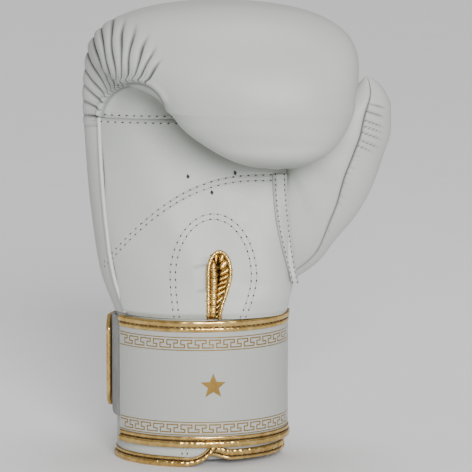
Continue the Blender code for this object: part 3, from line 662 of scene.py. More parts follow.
@dataclass(frozen=True)
class Hand:
    """The tube bent into a fist.

    A place on it is a station (0 wrist, 1 crease, 2 end of the curl, 3 start of the
    rounded fingertip, 4 fingertip), an angle round the section in degrees (0 thumb side,
    90 back, 180 little-finger side, 270 palm) and a depth in from the outer face.
    """

    shift: tuple[float, float]
    wrist: float = 98.5
    length: float = 137.5
    lean: float = 14.0
    curl: float = 33.0
    drop: float = 22.0
    tip: float = 15.0
    low: tuple = ((0, -56), (0.17, -65), (0.3, -68.5), (0.66, -74), (1, -76.5), (1.25, -74), (1.5, -69),
                  (1.72, -58), (2, -21), (2.5, -11), (3, 3), (3.67, 31), (4, 49))
    high: tuple = ((0, 57), (0.17, 61), (0.3, 60), (0.66, 61), (1, 72), (1.25, 93), (1.5, 100),
                   (1.72, 102), (2, 99), (2.5, 95), (3, 88), (3.67, 68), (4, 55))
    back: tuple = ((0, 40), (0.17, 41), (0.3, 42), (0.66, 43), (1, 44), (1.25, 42), (1.5, 32), (2, 30),
                   (2.5, 29), (3, 27), (4, 27))
    palm: tuple = ((0, 40), (0.17, 40), (0.3, 39), (0.66, 33), (1, 26), (2, 26), (2.5, 25), (3, 24), (4, 24))

    def middle(self, station: Array, depth: Array) -> tuple[Array, Array, Array, Array]:
        """The middle line's y and z, and the y and z of the way to the back.

        The line rises from the wrist, leaning back by a quarter sine, then turns half round
        a circle about the crease, drops straight, and ends in a quarter round.
        """
        turn = np.pi * np.clip(station - 1, 0, 1)
        up = np.clip(station, 0, 1)
        end = np.pi / 2 * np.clip(station - 3, 0, 1)
        y = self.lean * np.sin(up * np.pi / 2) - self.curl * (1 - np.cos(turn))
        z = self.wrist + self.length * up + self.curl * np.sin(turn)
        z = z - self.drop * np.clip(station - 2, 0, 1) - np.maximum(self.tip - depth, 0.5) * np.sin(end)
        return y, z, np.cos(turn), np.sin(turn)

    def reach(self, station: Array, depth: Array) -> tuple[Array, Array, Array, Array]:
        """Middle x, half width, and thickness to the back and to the palm."""
        low, high = through(self.low, station), through(self.high, station)
        fade = np.cos(np.pi / 2 * np.clip(station - 3, 0, 1))
        half = np.maximum((high - low) / 2 - depth, (high - low) * 0.08)
        back = np.maximum(through(self.back, station) - depth, 1) * fade
        palm = np.maximum(through(self.palm, station) - depth, 1) * fade
        return (low + high) / 2, half, back, palm

    def thumb_side_power(self, station: Array) -> Array:
        """How square the palm is toward the thumb: squarest beside the thumb's root."""
        return 3.0 + 2.6 * ease(station, 0.02, 0.2) * (1 - ease(station, 0.62, 0.95))

    def face(self, station: Array, angle: Array, depth: Array = 0.0) -> Array:
        """Points of the hand.

        Across the section x is half width times sign(c)|c|^(2/n) and the way out is
        thickness times sign(s)|s|^(2/n), with c and s the cosine and sine of the angle and
        n 2.2, or the thumb side's power on the palm's thumb quarter.
        """
        station, angle, depth = np.broadcast_arrays(station, np.radians(angle), depth)
        y, z, out_y, out_z = self.middle(station, depth)
        middle, half, back, palm = self.reach(station, depth)
        c, s = np.cos(angle), np.sin(angle)
        shape = 2 / np.where((s < 0) & (c > 0), self.thumb_side_power(station), 2.2)
        x = middle + half * np.sign(c) * np.abs(c) ** shape
        out = np.where(s > 0, back, palm) * np.sign(s) * np.abs(s) ** shape
        return self.moved(np.stack((x, y + out * out_y, z + out * out_z), axis=-1))

    def moved(self, points: Array) -> Array:
        """Points about the wrist's middle line, put where the frame has it."""
        return points + np.array([*self.shift, 0.0])

    def station(self, height: Array) -> Array:
        """The station below the crease at this height."""
        return (height - self.wrist) / self.length

    def on_palm(self, x: Array, height: Array, out: Array = 0.0) -> Array:
        """The point of the palm at this x and height, a distance out of its face."""
        station = self.station(height)
        y, _, _, _ = self.middle(station, 0.0)
        middle, half, _, palm = self.reach(station, -np.asarray(out, float))
        share = np.clip(np.abs(x - middle) / half, 0, 0.998)
        power = np.where(x > middle, self.thumb_side_power(station), 2.2)
        away = palm * (1 - share**power) ** (1 / power)
        return self.moved(np.stack(np.broadcast_arrays(x, y - away, height), axis=-1))

    def on_palm_with_up(self, x: Array, height: Array, out: float = 0.0) -> tuple[Array, Array]:
        """Points of the palm and the way out of it, found by moving out 1 mm."""
        at = self.on_palm(x, height, out)
        dx = self.on_palm(x + 0.5, height, out) - self.on_palm(x - 0.5, height, out)
        dz = self.on_palm(x, height + 0.5, out) - self.on_palm(x, height - 0.5, out)
        return at, unit(np.cross(dx, dz))

    def seam_height(self, x: Array) -> Array:
        """Height of the curved seam across the palm: a power curve that falls to the left."""
        away = np.maximum(40 - x, 0) / 100
        return 189.5 - 55.5 * away**2.3


@dataclass
class Stitching:
    """Rows of stitches, gathered for each body and made as two meshes."""

    thread: Finishes = Finishes.THREAD
    pitch: float = 4.9
    dash: float = 1.75

    def __post_init__(self) -> None:
        """Starts with no rows."""
        self.rows: dict[str, list[tuple[Array, Array]]] = {}

    def add(self, body: str, path: Array, up: Array) -> None:
        """Keeps one row: its path and the way out of the leather along it."""
        self.rows.setdefault(body, []).append(spaced(path, self.pitch, up))

    def make(self, label: str, slot: str = "white_leather") -> None:
        """Makes the threads of every body's rows, and near-black ovals of painted shade at their needle
        holes.
        """
        for body, rows in self.rows.items():
            spots, ways, ups = [], [], []
            for path, up in rows:
                spots.append((path[1:] + path[:-1]) / 2)
                ways.append(path[1:] - path[:-1])
                ups.append(up[1:] + up[:-1])
            spots, ways, ups = (np.concatenate(part) for part in (spots, ways, ups))
            ups = unit(ups)
            threads = copies(f"{label}_threads_{body}", spots + ups * 0.1, ways, ups, (self.dash, 0.5, 0.42))
            Piece(body, self.thread, slot=slot).place(threads)
            ends = np.concatenate([path for path, _ in rows])
            end_ups = unit(np.concatenate([up for _, up in rows]))
            end_ways = np.concatenate([np.gradient(path, axis=0) for path, _ in rows])
            # The needle holes: near-black ovals of painted shade.
            hole_shades = copies(f"{label}_holes_{body}", ends, end_ways, end_ups, (0.78, 0.55, 0.3))
            Piece(body, Finishes.HOLE_SHADE, slot=slot).place(hole_shades)


# ---------------------------------------------------------------- sub-assemblies


@dataclass
class HandLeather:
    """The leathers of the fist and palm, with their gathers, welt and vent holes."""

    hand: Hand
    stitches: Stitching
    skin: float = 1.2
    lip_middle: tuple[float, float] = (-42.0, 221.8)
    lip_radius: float = 21.7
    valleys: tuple[float, ...] = (52, 63, 74, 83, 94, 102, 110, 117, 123, 130, 138, 148, 161, 174, 187, 200)
    fold_depth: float = 2.3
    fold_lean: float = 0.27
    finger_seam: float = 0.915
    little_seam: float = 214.0
    thumb_seam: float = -25.0

    def from_lip(self, points: Array) -> tuple[Array, Array, Array]:
        """Distance from the lip's middle, turn about it in degrees, and height above it.

        The lip's circle lies in a plane that leans ten degrees from upright.
        """
        x = points[..., 0] - self.hand.shift[0] - self.lip_middle[0]
        z = 0.985 * points[..., 2] + 0.174 * points[..., 1] - self.lip_middle[1]
        return np.hypot(x, z), (np.degrees(np.arctan2(z, x)) + 60) % 360 - 60, z

    def gathers(self, points: Array) -> tuple[Array, Array]:
        """How far the gathers stand out, and the painted shade in their valleys, at the rim's foot and in the
        pocket.

        Folds radiate from the round lip of the pocket.  With p the number of valleys passed
        in turning about the lip's middle, a fold stands out as |sin(pi p)|^0.6, which has
        round ridges and sharp valleys.  Folds fade away from the lip, and short ones of
        twice the number stand against it.  The lip itself is a rounded rim, and inside it
        the pocket sinks.
        """
        away, turn, height = self.from_lip(points)
        bent = turn + self.fold_lean * (away - 36)
        passed = np.interp(bent, self.valleys, np.arange(len(self.valleys)))
        passed = passed + 0.05 * np.sin(away * 0.24 + passed * 2.1)
        wave = np.abs(np.sin(np.pi * passed))
        limit = through(((40, 26), (52, 34), (63, 44), (74, 52), (83, 60), (94, 68), (110, 96), (180, 96)),
                        turn)
        sides = ease(bent, 50, 66) * (1 - ease(bent, 180, 192))
        front = 1 - 0.15 * ease(points[..., 1], -28, 0) - 0.85 * ease(points[..., 1], 6, 38)
        outside = ease(away, self.lip_radius - 0.5, self.lip_radius + 1.5)
        strength = (1 - ease(away, limit * 0.66, limit)) * sides * front * outside
        close = (1 - ease(away, self.lip_radius + 3, self.lip_radius + 11)) * sides * front * outside
        half = np.abs(np.sin(2 * np.pi * passed + 0.5))
        rim = (np.exp(-(((away - self.lip_radius - 1.6) / 1.7) ** 2))
               * ease(turn, 8, 30) * (1 - ease(turn, 176, 196)))
        inside = (1 - ease(away, self.lip_radius - 4.5, self.lip_radius)) * ease(height, -2, 5) * front
        # The pocket: it sinks the leather and adds painted shade.
        hollow_and_painted_shade = inside * (0.55 + 0.45 * ease(away, 4, self.lip_radius - 4)) * ease(turn, -4, 40)
        lift = self.fold_depth * strength * (wave**0.6 - 0.5) + 1.0 * close * (half**0.7 - 0.5)
        rim = rim * ease(front, 0.2, 0.5)
        lift = lift + 1.5 * rim - 1.5 * hollow_and_painted_shade * ease(away, 3, 12)
        # The rim's foot, used only for painted shade.
        foot = (np.exp(-(((away - self.lip_radius + 0.7) / 0.9) ** 2))
                * ease(turn, 6, 26) * (1 - ease(turn, 178, 190)))
        # Painted shade in the fold valleys, along the foot of the lip's rim and in the pocket.
        painted_shade = 1.1 * strength * (1 - ease(wave, 0.05, 0.62)) + 0.6 * close * (1 - ease(half, 0.02, 0.45))
        return lift, painted_shade + 0.7 * foot * front + 0.1 * hollow_and_painted_shade

    def cover(self) -> None:
        """The striking cover, from the wrist over the knuckles to the fingertips."""
        stations = np.concatenate((np.linspace(0, 0.84, 26), np.linspace(0.845, 1.7, 210),
                                   np.linspace(1.7025, 2.06, 140),
                                   np.linspace(2.075, 3.98, 44)))
        angles = np.concatenate((np.linspace(self.thumb_seam, 112, 44),
                                 np.linspace(113, self.little_seam, 130)))
        s, a = stations[:, None], angles[None, :]
        base = self.hand.face(s, a)
        out = unit(self.hand.face(s, a, -1.0) - base + 1e-9)
        lift, painted_shade = self.gathers(base)
        soft = 0.3 * ripple(s * 9 + a * 0.05, s * 4.3 - a * 0.09, a * 0.13 + 2)
        # Painted shade along the little-finger seam below the crease, and under the fist at the rounded
        # fingertips.
        painted_shade = (painted_shade + 0.35 * np.exp(-(self.little_seam - a) / 0.7) * (1 - ease(s, 0.9, 0.96))
                + 0.38 * ease(s, 3.0, 3.8))
        outer = base + out * (lift + soft)[..., None]
        inner = self.hand.face(s, a, self.skin) + out * (np.minimum(lift, 0) * 0.3)[..., None]
        mesh = wall("striking_leather", outer, inner, painted_shade)
        Piece("glove", Finishes.LEATHER, ("striking_cover",), fill=0.9).place(mesh)

    def underside(self) -> None:
        """The leather under the curled fingers, from its seam across the palm."""
        stations = np.concatenate((np.linspace(self.finger_seam, 1.7, 110), np.linspace(1.703, 2.06, 110),
                                   np.linspace(2.08, 3.98, 46)))
        angles = np.linspace(self.little_seam, 360 + self.thumb_seam, 110)
        s, a = stations[:, None], angles[None, :]
        base = self.hand.face(s, a)
        out = unit(self.hand.face(s, a, -1.0) - base + 1e-9)
        lift, painted_shade = self.gathers(base)
        seam = self.finger_seam
        pull = (0.8 * np.exp(-(s - seam) / 0.008)
                + 0.25 * np.sin(a * 1.9) * np.exp(-(((s - seam - 0.02) / 0.02) ** 2)))
        outer = base + out * (lift - pull)[..., None]
        inner = self.hand.face(s, a, self.skin) + out * (np.minimum(lift, 0) * 1.0)[..., None]
        # Painted shade under the rounded fingertips and in the pocket beside the crease; the seam below gets
        # painted shade too.
        painted_underside_shade = 0.3 * ease(s, 2.9, 3.6) + 0.3 * (1 - ease(s, 0.95, 1.35)) * ease(a, 235, 285)
        mesh = wall("finger_underside_leather", outer, inner,
                    painted_shade + painted_underside_shade + 0.3 * np.exp(-(s - seam) / 0.006))
        Piece("glove", Finishes.LEATHER, ("finger_underside_panel",), fill=0.6).place(mesh)

    def palm_relief(self, points: Array) -> Array:
        """How far the palm's leather stands out: soft dents, and the seams' pull.

        Dents are a mean of slow sines of x and z.  Each sewn line draws the leather in by
        a bell curve of the distance to it, and the heel swells out above the strap.
        """
        x = points[..., 0] - self.hand.shift[0]
        z = points[..., 2]
        soft = 1.15 * ripple(x * 0.085 + z * 0.06, z * 0.11 - x * 0.05, x * 0.03 - z * 0.075 + 2,
                             x * 0.16 + z * 0.1 + 1)
        below = self.hand.seam_height(x) - z
        pull = sum(np.exp(-(((below - row) / 1.0) ** 2)) for row in (0.0, 3.5))
        band = np.exp(-(((below - 1.7) / 4.0) ** 2))
        heel = 2.4 * ease(z, 98.0, 102.5) * (1 - ease(z, 104.0, 122.0))
        return 0.4 + soft - 0.45 * pull + 0.3 * band + heel

    def slit_sink(self, points: Array, slit: Slit) -> Array:
        """One inside the slit's outline and zero outside it, with a steep wall."""
        x = points[..., 0] - self.hand.shift[0] - slit.middle(points[..., 2])
        half = slit.half_width(points[..., 2]) + 0.4
        return 1 - ease(np.abs(x) - half, -0.9, 0.3)

    def palm(self, slit: Slit) -> None:
        """The palm's two leathers, above and below the curved seam."""
        angles = np.linspace(self.little_seam + 1.2, 360 + self.thumb_seam - 0.4, 200)
        a = angles[None, :]
        nominal = self.hand.face(np.array(0.62), angles)[:, 0] - self.hand.shift[0]
        seam = self.hand.station(self.hand.seam_height(nominal))
        spans = (
            ("lower_palm_leather", "lower_palm_panel", np.zeros_like(seam), seam, 130),
            ("upper_palm_leather", "upper_palm_panel", seam, np.full_like(seam, self.finger_seam), 120),
        )
        for name, node, first, last, rows in spans:
            t = np.linspace(0, 1, rows)[:, None]
            s = first[None, :] + (last - first)[None, :] * t
            base = self.hand.face(s, a)
            edge = 1.1 * np.exp(-np.clip(a - self.little_seam, 0, 60) / 1.0)
            top = 0.8 * np.exp(-(self.finger_seam - s) / 0.008)
            sink = self.slit_sink(base, slit) * 3.8 if node.startswith("lower") else 0 * a
            outer = self.hand.face(s, a, (edge + top - self.palm_relief(base)) * (1 - sink / 3.8) + sink)
            inner = self.hand.face(s, a, self.skin + 0.9 + sink * 0.6)
            shade = 0.5 * np.exp(-np.clip(a - self.little_seam, 0, 60) / 0.9)
            shade = shade + 0.3 * np.exp(-(self.finger_seam - s) / 0.006) + 0.2 * ease(s, 0.6, 0.9)
            Piece("glove", Finishes.LEATHER, (node,), fill=0.5).place(wall(name, outer, inner, shade))

    def welt(self) -> None:
        """The rounded welt down the little-finger seam."""
        s = np.linspace(0.01, self.finger_seam, 140)
        path = self.hand.face(s, self.little_seam + 0.5, -0.9)
        up = unit(self.hand.face(s, self.little_seam, -2.0) - self.hand.face(s, self.little_seam, 0.0))
        across, rise = round_profile(1.35, 1.35, 12)
        swell = 1 + 0.05 * np.sin(s * 260)
        rings = along(path, up, across[None] * swell[:, None], rise[None] * swell[:, None])
        Piece("glove", Finishes.WELT, ("side_piping",)).place(rod("side_welt", rings))

    def sew(self, x: Array, height: Array) -> None:
        """Keeps a row of stitches that lies on the palm's leather."""
        relief = self.palm_relief(self.hand.on_palm(x, height))
        up = self.hand.on_palm_with_up(x, height)[1]
        self.stitches.add("glove", self.hand.on_palm(x, height, relief + 0.1), up)

    def stitch_seams(self) -> None:
        """Stitch rows along the palm's curved seam and across the crease."""
        x = np.linspace(-62, 46, 130)
        for below in (0.0, 3.5):
            self.sew(x, self.hand.seam_height(x) - below)
        x = np.linspace(-64, 20, 90)
        rise = self.hand.wrist + self.hand.length * self.finger_seam
        self.sew(x, rise - 2.2 + 0 * x)
        angles = np.linspace(self.little_seam + 5, 300, 70)
        row = self.finger_seam + 0.016
        path = self.hand.face(row, angles, -0.1)
        self.stitches.add("glove", path, unit(self.hand.face(row, angles, -2.0) - path))

    def vents(self) -> None:
        """Three punched vent holes in the palm, as near-black ovals of painted shade."""
        x = np.array([-7.5, 23.0, 8.0])
        height = np.array([188.6, 191.0, 178.6])
        relief = self.palm_relief(self.hand.on_palm(x, height))
        up = self.hand.on_palm_with_up(x, height)[1]
        path = self.hand.on_palm(x, height, relief + 0.05)
        Piece("glove", Finishes.HOLE_SHADE).place(copies("vent_hole_shades", path, np.cross(up, [1.0, 0.0, 0.2]), up,
                                                   (1.5, 1.2, 0.5)))

    def make(self, slit: Slit) -> None:
        """Makes the leathers of the hand."""
        self.cover()
        self.underside()
        self.palm(slit)
        self.welt()
        self.stitch_seams()
        self.vents()


@dataclass
class Slit:
    """The bound entry slit in the palm, with the gathered gold leather inside it."""

    hand: Hand
    leather: HandLeather
    foot: float = 98.5
    wide: float = 128.0
    top: float = 140.0
    middle_low: float = 9.4
    middle_high: float = 12.9
    widest: float = 6.2
    mouth: float = 2.7
    arch_x: float = 9.0
    arch_half: float = 28.0
    arch_spring: float = 125.0
    arch_top: float = 165.0

    def middle(self, height: Array) -> Array:
        """x of the slit's middle: it leans to the thumb as it rises."""
        return self.middle_low + (self.middle_high - self.middle_low) * ease(height, self.foot, self.wide)

    def half_width(self, height: Array) -> Array:
        """Half the slit's width at a height: a taper below and half an oval above."""
        lower = self.mouth + (self.widest - self.mouth) * ease(height, self.foot, self.wide)
        rise = np.clip((height - self.wide) / (self.top - self.wide), 0, 1)
        upper = self.widest * np.sqrt(1 - rise**2)
        return np.where(height < self.wide, lower, np.where(height < self.top, upper, -3.0))

    def outline(self, grow: float, count: int) -> tuple[Array, Array]:
        """x and height round the slit from the right foot over the top to the left foot."""
        t = np.linspace(0, 1, count)
        rise = np.clip(np.minimum(t, 1 - t) / 0.34, 0, 1)
        turn = np.pi * np.clip((t - 0.34) / 0.32, 0, 1)
        straight = self.mouth + (self.widest - self.mouth) * ease(rise, 0, 1)
        z = self.foot + (self.wide - self.foot) * rise + (self.top + grow - self.wide) * np.sin(turn)
        return self.middle(np.minimum(z, self.wide)) + (straight + grow) * np.cos(turn), z

    def on_leather(self, x: Array, z: Array, out: Array) -> tuple[Array, Array]:
        """A point a distance out of the palm's leather, and the way out."""
        relief = self.leather.palm_relief(self.hand.on_palm(x, z))
        return self.hand.on_palm(x, z, relief + out), self.hand.on_palm_with_up(x, z)[1]

    def binding(self) -> None:
        """The rolled gold edge, and the thick left lip that overlaps the opening."""
        x, z = self.outline(1.0, 300)
        z = np.maximum(z, self.foot + 0.2)
        path, up = self.on_leather(x, z, 0.1)
        run = np.arange(len(path))
        pucker = 1 + 0.09 * np.sin(run * 0.61) + 0.06 * np.sin(run * 1.31 + 1)
        across, rise = round_profile(1.25, 1.15, 12, 2.3)
        rings = along(path, up, across[None] * pucker[:, None], rise[None] * pucker[:, None])
        piece = Piece("glove", Finishes.GOLD_SMOOTH, ("slit_binding",), "gold_leather")
        piece.place(rod("slit_edge_binding", rings))

        z = np.linspace(self.foot + 0.3, self.top - 4.5, 160)
        share = (z - z[0]) / (z[-1] - z[0])
        half = 2.5 * np.sqrt(np.clip(1 - share**6, 0.02, 1)) * (0.82 + 0.18 * ease(share, 0.0, 0.5))
        x = self.middle(z) - self.half_width(z) + half * 0.95 + 0.4 * share
        path, up = self.on_leather(x, z, -0.9)
        pucker = 1 + 0.08 * np.sin(z * 1.9) + 0.10 * np.sin(z * 3.3 + 1)
        across, rise = round_profile(1.0, 1.0, 16, 2.4)
        rings = along(path, up, across[None] * (half * pucker)[:, None],
                      rise[None] * (1.5 * pucker * (0.35 + 0.65 * half / 2.5))[:, None])
        Piece("glove", Finishes.GOLD, (), "gold_leather").place(rod("slit_left_lip", rings))

    def gusset(self) -> None:
        """Gathered gold leather behind the slit.

        Tucks fan out from the slit's top and run aslant below it: with u across and h the
        height they stand out as |sin| of a slant of u and h, and a crease runs down beside
        the left lip.  Painted shade darkens the tucks' low places, the crease and the sides.
        """
        u = np.linspace(-1, 1, 150)[None, :]
        z = np.linspace(self.foot, self.top + 1.6, 190)[:, None]
        half = np.maximum(self.half_width(np.minimum(z, self.top - 0.3)), 1.2) + 1.2
        x = self.middle(z) + u * half
        fan = np.arctan2(z - (self.top - 8), x - self.middle(z) + 1.5)
        high = ease(z, self.top - 9, self.top - 5)
        slant = np.abs(np.sin(z * 0.85 - u * 2.6 + 0.7 * np.sin(z * 0.31)))
        tuck = high * np.abs(np.sin(fan * 4.5)) + (1 - high) * slant
        crease = np.exp(-(((u + 0.12 + 0.5 * ease(z, 128, 100) - 0.35 * ease(z, 112, 100)) / 0.16) ** 2))
        crease = crease * (1 - high * ease(z, self.top - 7, self.top - 2))
        out = -1.9 + 1.5 * tuck**0.7 * (1 - u**4) - 1.4 * crease
        out = np.clip(out, -2.9, 1.0)
        outer = self.hand.on_palm(x, z, out)
        inner = self.hand.on_palm(x, z, -3.2 + 0 * out)
        shade = 0.85 * (1 - ease(tuck, 0.05, 0.6)) + 0.9 * crease + 0.5 * ease(np.abs(u), 0.8, 1.0)
        piece = Piece("glove", Finishes.GOLD, ("slit_gusset",), "gold_leather", 0.3)
        piece.place(wall("slit_gathered_gusset", outer, inner, shade))

    def arch(self) -> None:
        """Two stitch rows in an arch round the slit; its right leg leans in at the foot."""
        for grow in (0.0, 3.4):
            t = np.linspace(0, 1, 160)
            leg = np.clip(np.minimum(t, 1 - t) / 0.22, 0, 1)
            turn = np.pi * np.clip((t - 0.22) / 0.56, 0, 1)
            lean = np.where(t < 0.5, 7.0, 2.5) * (1 - leg) ** 1.6
            x = self.arch_x + (self.arch_half - grow - lean) * np.cos(turn)
            z = self.foot + 1.5 + (self.arch_spring - self.foot - 1.5) * leg
            z = z + (self.arch_top - grow - self.arch_spring) * np.sin(turn)
            self.leather.sew(x, z)

    def make(self) -> None:
        """Makes the slit's pieces."""
        self.gusset()
        self.binding()
        self.arch()


@dataclass
class Thumb:
    """The thumb's two leathers and its tape."""

    hand: Hand
    fine_stitches: Stitching
    skin: float = 1.2
    # place along the thumb: near x, near z, far x, far z, half thickness, middle y
    sections: tuple = (
        (0, 55.5, 190, 58, 115.5, 19, 0),
        (1, 57, 196, 78, 130, 21, 0),
        (2, 59, 199, 89, 144.5, 22, -0.5),
        (3, 61, 202.5, 103, 162, 22.2, -1),
        (4, 63.5, 204.5, 113, 182, 22, -2),
        (5, 66.5, 208, 120, 202, 21, -2.5),
        (6, 72.5, 219, 124, 218, 19.5, -3),
        (7, 81, 231, 123.8, 232, 16.5, -3.5),
        (8, 94.5, 240, 120, 242, 12, -3.5),
        (9, 103.5, 247, 113.5, 249, 5.5, -3.5),
        (9.5, 107.5, 251.4, 108.8, 251.6, 0.6, -3.5),
    )

    def face(self, place: Array, angle: Array, depth: float = 0.0) -> Array:
        """Points of the thumb: ovals strung between its inner and outer edges.

        At each place the oval's long axis runs from the near point to the far one and its
        short axis along y; 0 degrees is the near point and 90 the palm side.  The near
        quarter on the palm side is squarer, so it meets the palm.
        """
        column = [through(tuple((row[0], row[k]) for row in self.sections), place) for k in range(1, 7)]
        near_x, near_z, far_x, far_z, thick, y = column
        half_x, half_z = (far_x - near_x) / 2, (far_z - near_z) / 2
        size = np.hypot(half_x, half_z)
        shrink = np.maximum(size - depth, 0.3) / size
        turn = np.radians(angle)
        c, s = np.cos(turn), np.sin(turn)
        square = 2 + 2.2 * (1 - ease(place, 4, 6.5)) * ease(c, 0, 0.2) * (s > 0)
        cc = np.sign(c) * np.abs(c) ** (2 / square)
        ss = np.sign(s) * np.abs(s) ** (2 / square)
        x = near_x + half_x - half_x * shrink * cc
        z = near_z + half_z - half_z * shrink * cc
        out = y - np.maximum(thick - depth, 0.3) * ss
        return self.hand.moved(np.stack(np.broadcast_arrays(x, out, z), axis=-1))

    def seam_angle(self, place: Array) -> Array:
        """Angle of the seam between the inner panel and the outer cover."""
        return 148 + (104 - 148) * ease(place, 0, 4.2)

    def leathers(self) -> None:
        """The panel that faces the palm and the cover round the outside."""
        p = np.concatenate((np.linspace(0, 8.6, 130), np.linspace(8.65, 9.5, 26)))[:, None]
        t = np.linspace(0, 1, 110)[None, :]
        seam = self.seam_angle(p)
        spans = (
            ("thumb_palm_leather", ("thumb_inner_panel",), -40 + (seam - 0.5 + 40) * t, Finishes.LEATHER),
            ("thumb_outer_leather", ("thumb_outer_cover",), seam + 0.5 + (319 - seam - 0.5) * t,
             Finishes.LEATHER),
        )
        for name, nodes, a, finish in spans:
            to_seam = np.abs(a - seam) * 0.42
            outside = ease(a - seam, 0, 2)
            round_off = 0.9 * (1 - np.exp(-to_seam / 1.3)) - 0.55 + 0.75 * outside * np.exp(-to_seam / 3.0)
            place = p + 0.010 * (a - seam)
            crease = outside * (1 - ease(a - seam, 22, 46)) * ease(p, 4.9, 5.3) * (1 - ease(p, 7.1, 7.7))
            passed = np.interp(place, (4.6, 5.0, 5.35, 5.6, 5.95, 6.25, 6.5, 6.95, 7.4, 8.0), np.arange(10))
            wave = np.abs(np.sin(np.pi * passed))
            fine = outside * (1 - ease(a - seam, 4, 13)) * ease(p, 0.8, 1.6) * (1 - ease(p, 4.8, 5.2))
            crinkle = np.abs(np.sin(p * 13 + 0.7 * np.sin(p * 5)))
            wrinkle = 1.5 * crease * (wave**0.6 - 0.6) + 0.55 * fine * (crinkle**0.8 - 0.5)
            base = self.face(p, a, 0.0)
            out = unit(self.face(p, a, -1.0) - base)
            outer = base + out * (round_off + wrinkle + 0.2 * ripple(p * 2.1 + a * 0.04, p * 3.7))[..., None]
            shade = 0.7 * np.exp(-to_seam / 0.55) + 0.8 * crease * (1 - ease(wave, 0.04, 0.45))
            shade = shade + 0.3 * fine * (1 - ease(crinkle, 0.05, 0.5))
            mesh = wall(name, outer, self.face(p, a, self.skin), shade)
            Piece("glove", finish, nodes, fill=0.8).place(mesh)

    def tape(self) -> None:
        """The stitched tape over the thumb's seam, narrower toward its foot.

        Its middle bows outward as it falls, by a power of the fall, and its left edge is a
        folded ridge.
        """
        z = np.linspace(120.5, 190, 110)
        t = (190 - z) / 69.5
        x = 51.9 + 9.9 * t**1.75
        half = 4.8 - 2.4 * ease(t, 0.35, 1)
        u = np.linspace(-1, 1, 26)
        xs = x[:, None] + half[:, None] * u[None, :]
        zs = z[:, None] + 0 * xs
        palm = self.hand.on_palm(np.minimum(xs, 57.5), zs, 0.4)[..., 1]
        thumb_y = self.hand.shift[1] - 20.5 + 3.0 * ease(zs, 150, 120)
        y = np.minimum(palm, thumb_y) - 0.9
        ridge = 1.1 * np.exp(-(((u + 0.86) / 0.11) ** 2)) + 0.5 * np.exp(-(((u - 0.86) / 0.12) ** 2))
        groove = 0.45 * np.exp(-(((u + 0.58) / 0.10) ** 2)) + 0.35 * np.exp(-(((u - 0.62) / 0.10) ** 2))
        crown = 0.35 * (1 - u**6) + ridge - groove
        outer = np.stack((xs + self.hand.shift[0], y - crown[None, :], zs), axis=-1)
        inner = outer + np.array([0.0, 3.0, 0.0])
        shade = 0.35 * np.exp(-(((u + 0.66) / 0.07) ** 2)) + 0.3 * np.exp(-((1 - np.abs(u)) / 0.05))
        shade = np.broadcast_to(shade[None, :], xs.shape)
        Piece("glove", Finishes.LEATHER, ("thumb_seam_tape",)).place(
            wall("thumb_tape_leather", outer, inner, shade))
        for column in (5, 20):
            path = outer[:, column] - np.array([0.0, 0.1, 0.0])
            self.fine_stitches.add("glove", path, np.broadcast_to([0.0, -1.0, 0.0], path.shape))

    def make(self) -> None:
        """Makes the thumb's pieces."""
        self.leathers()
        self.tape()


HEM_ROLLS = ((0.0, 0.30, 0.75), (0.40, 1.0, 1.35))
TOP_ROLLS = ((0.0, 0.54, 1.35), (0.62, 1.0, 0.7))
BOTTOM_ROLLS = ((0.0, 0.33, 0.75), (0.42, 1.0, 1.4))


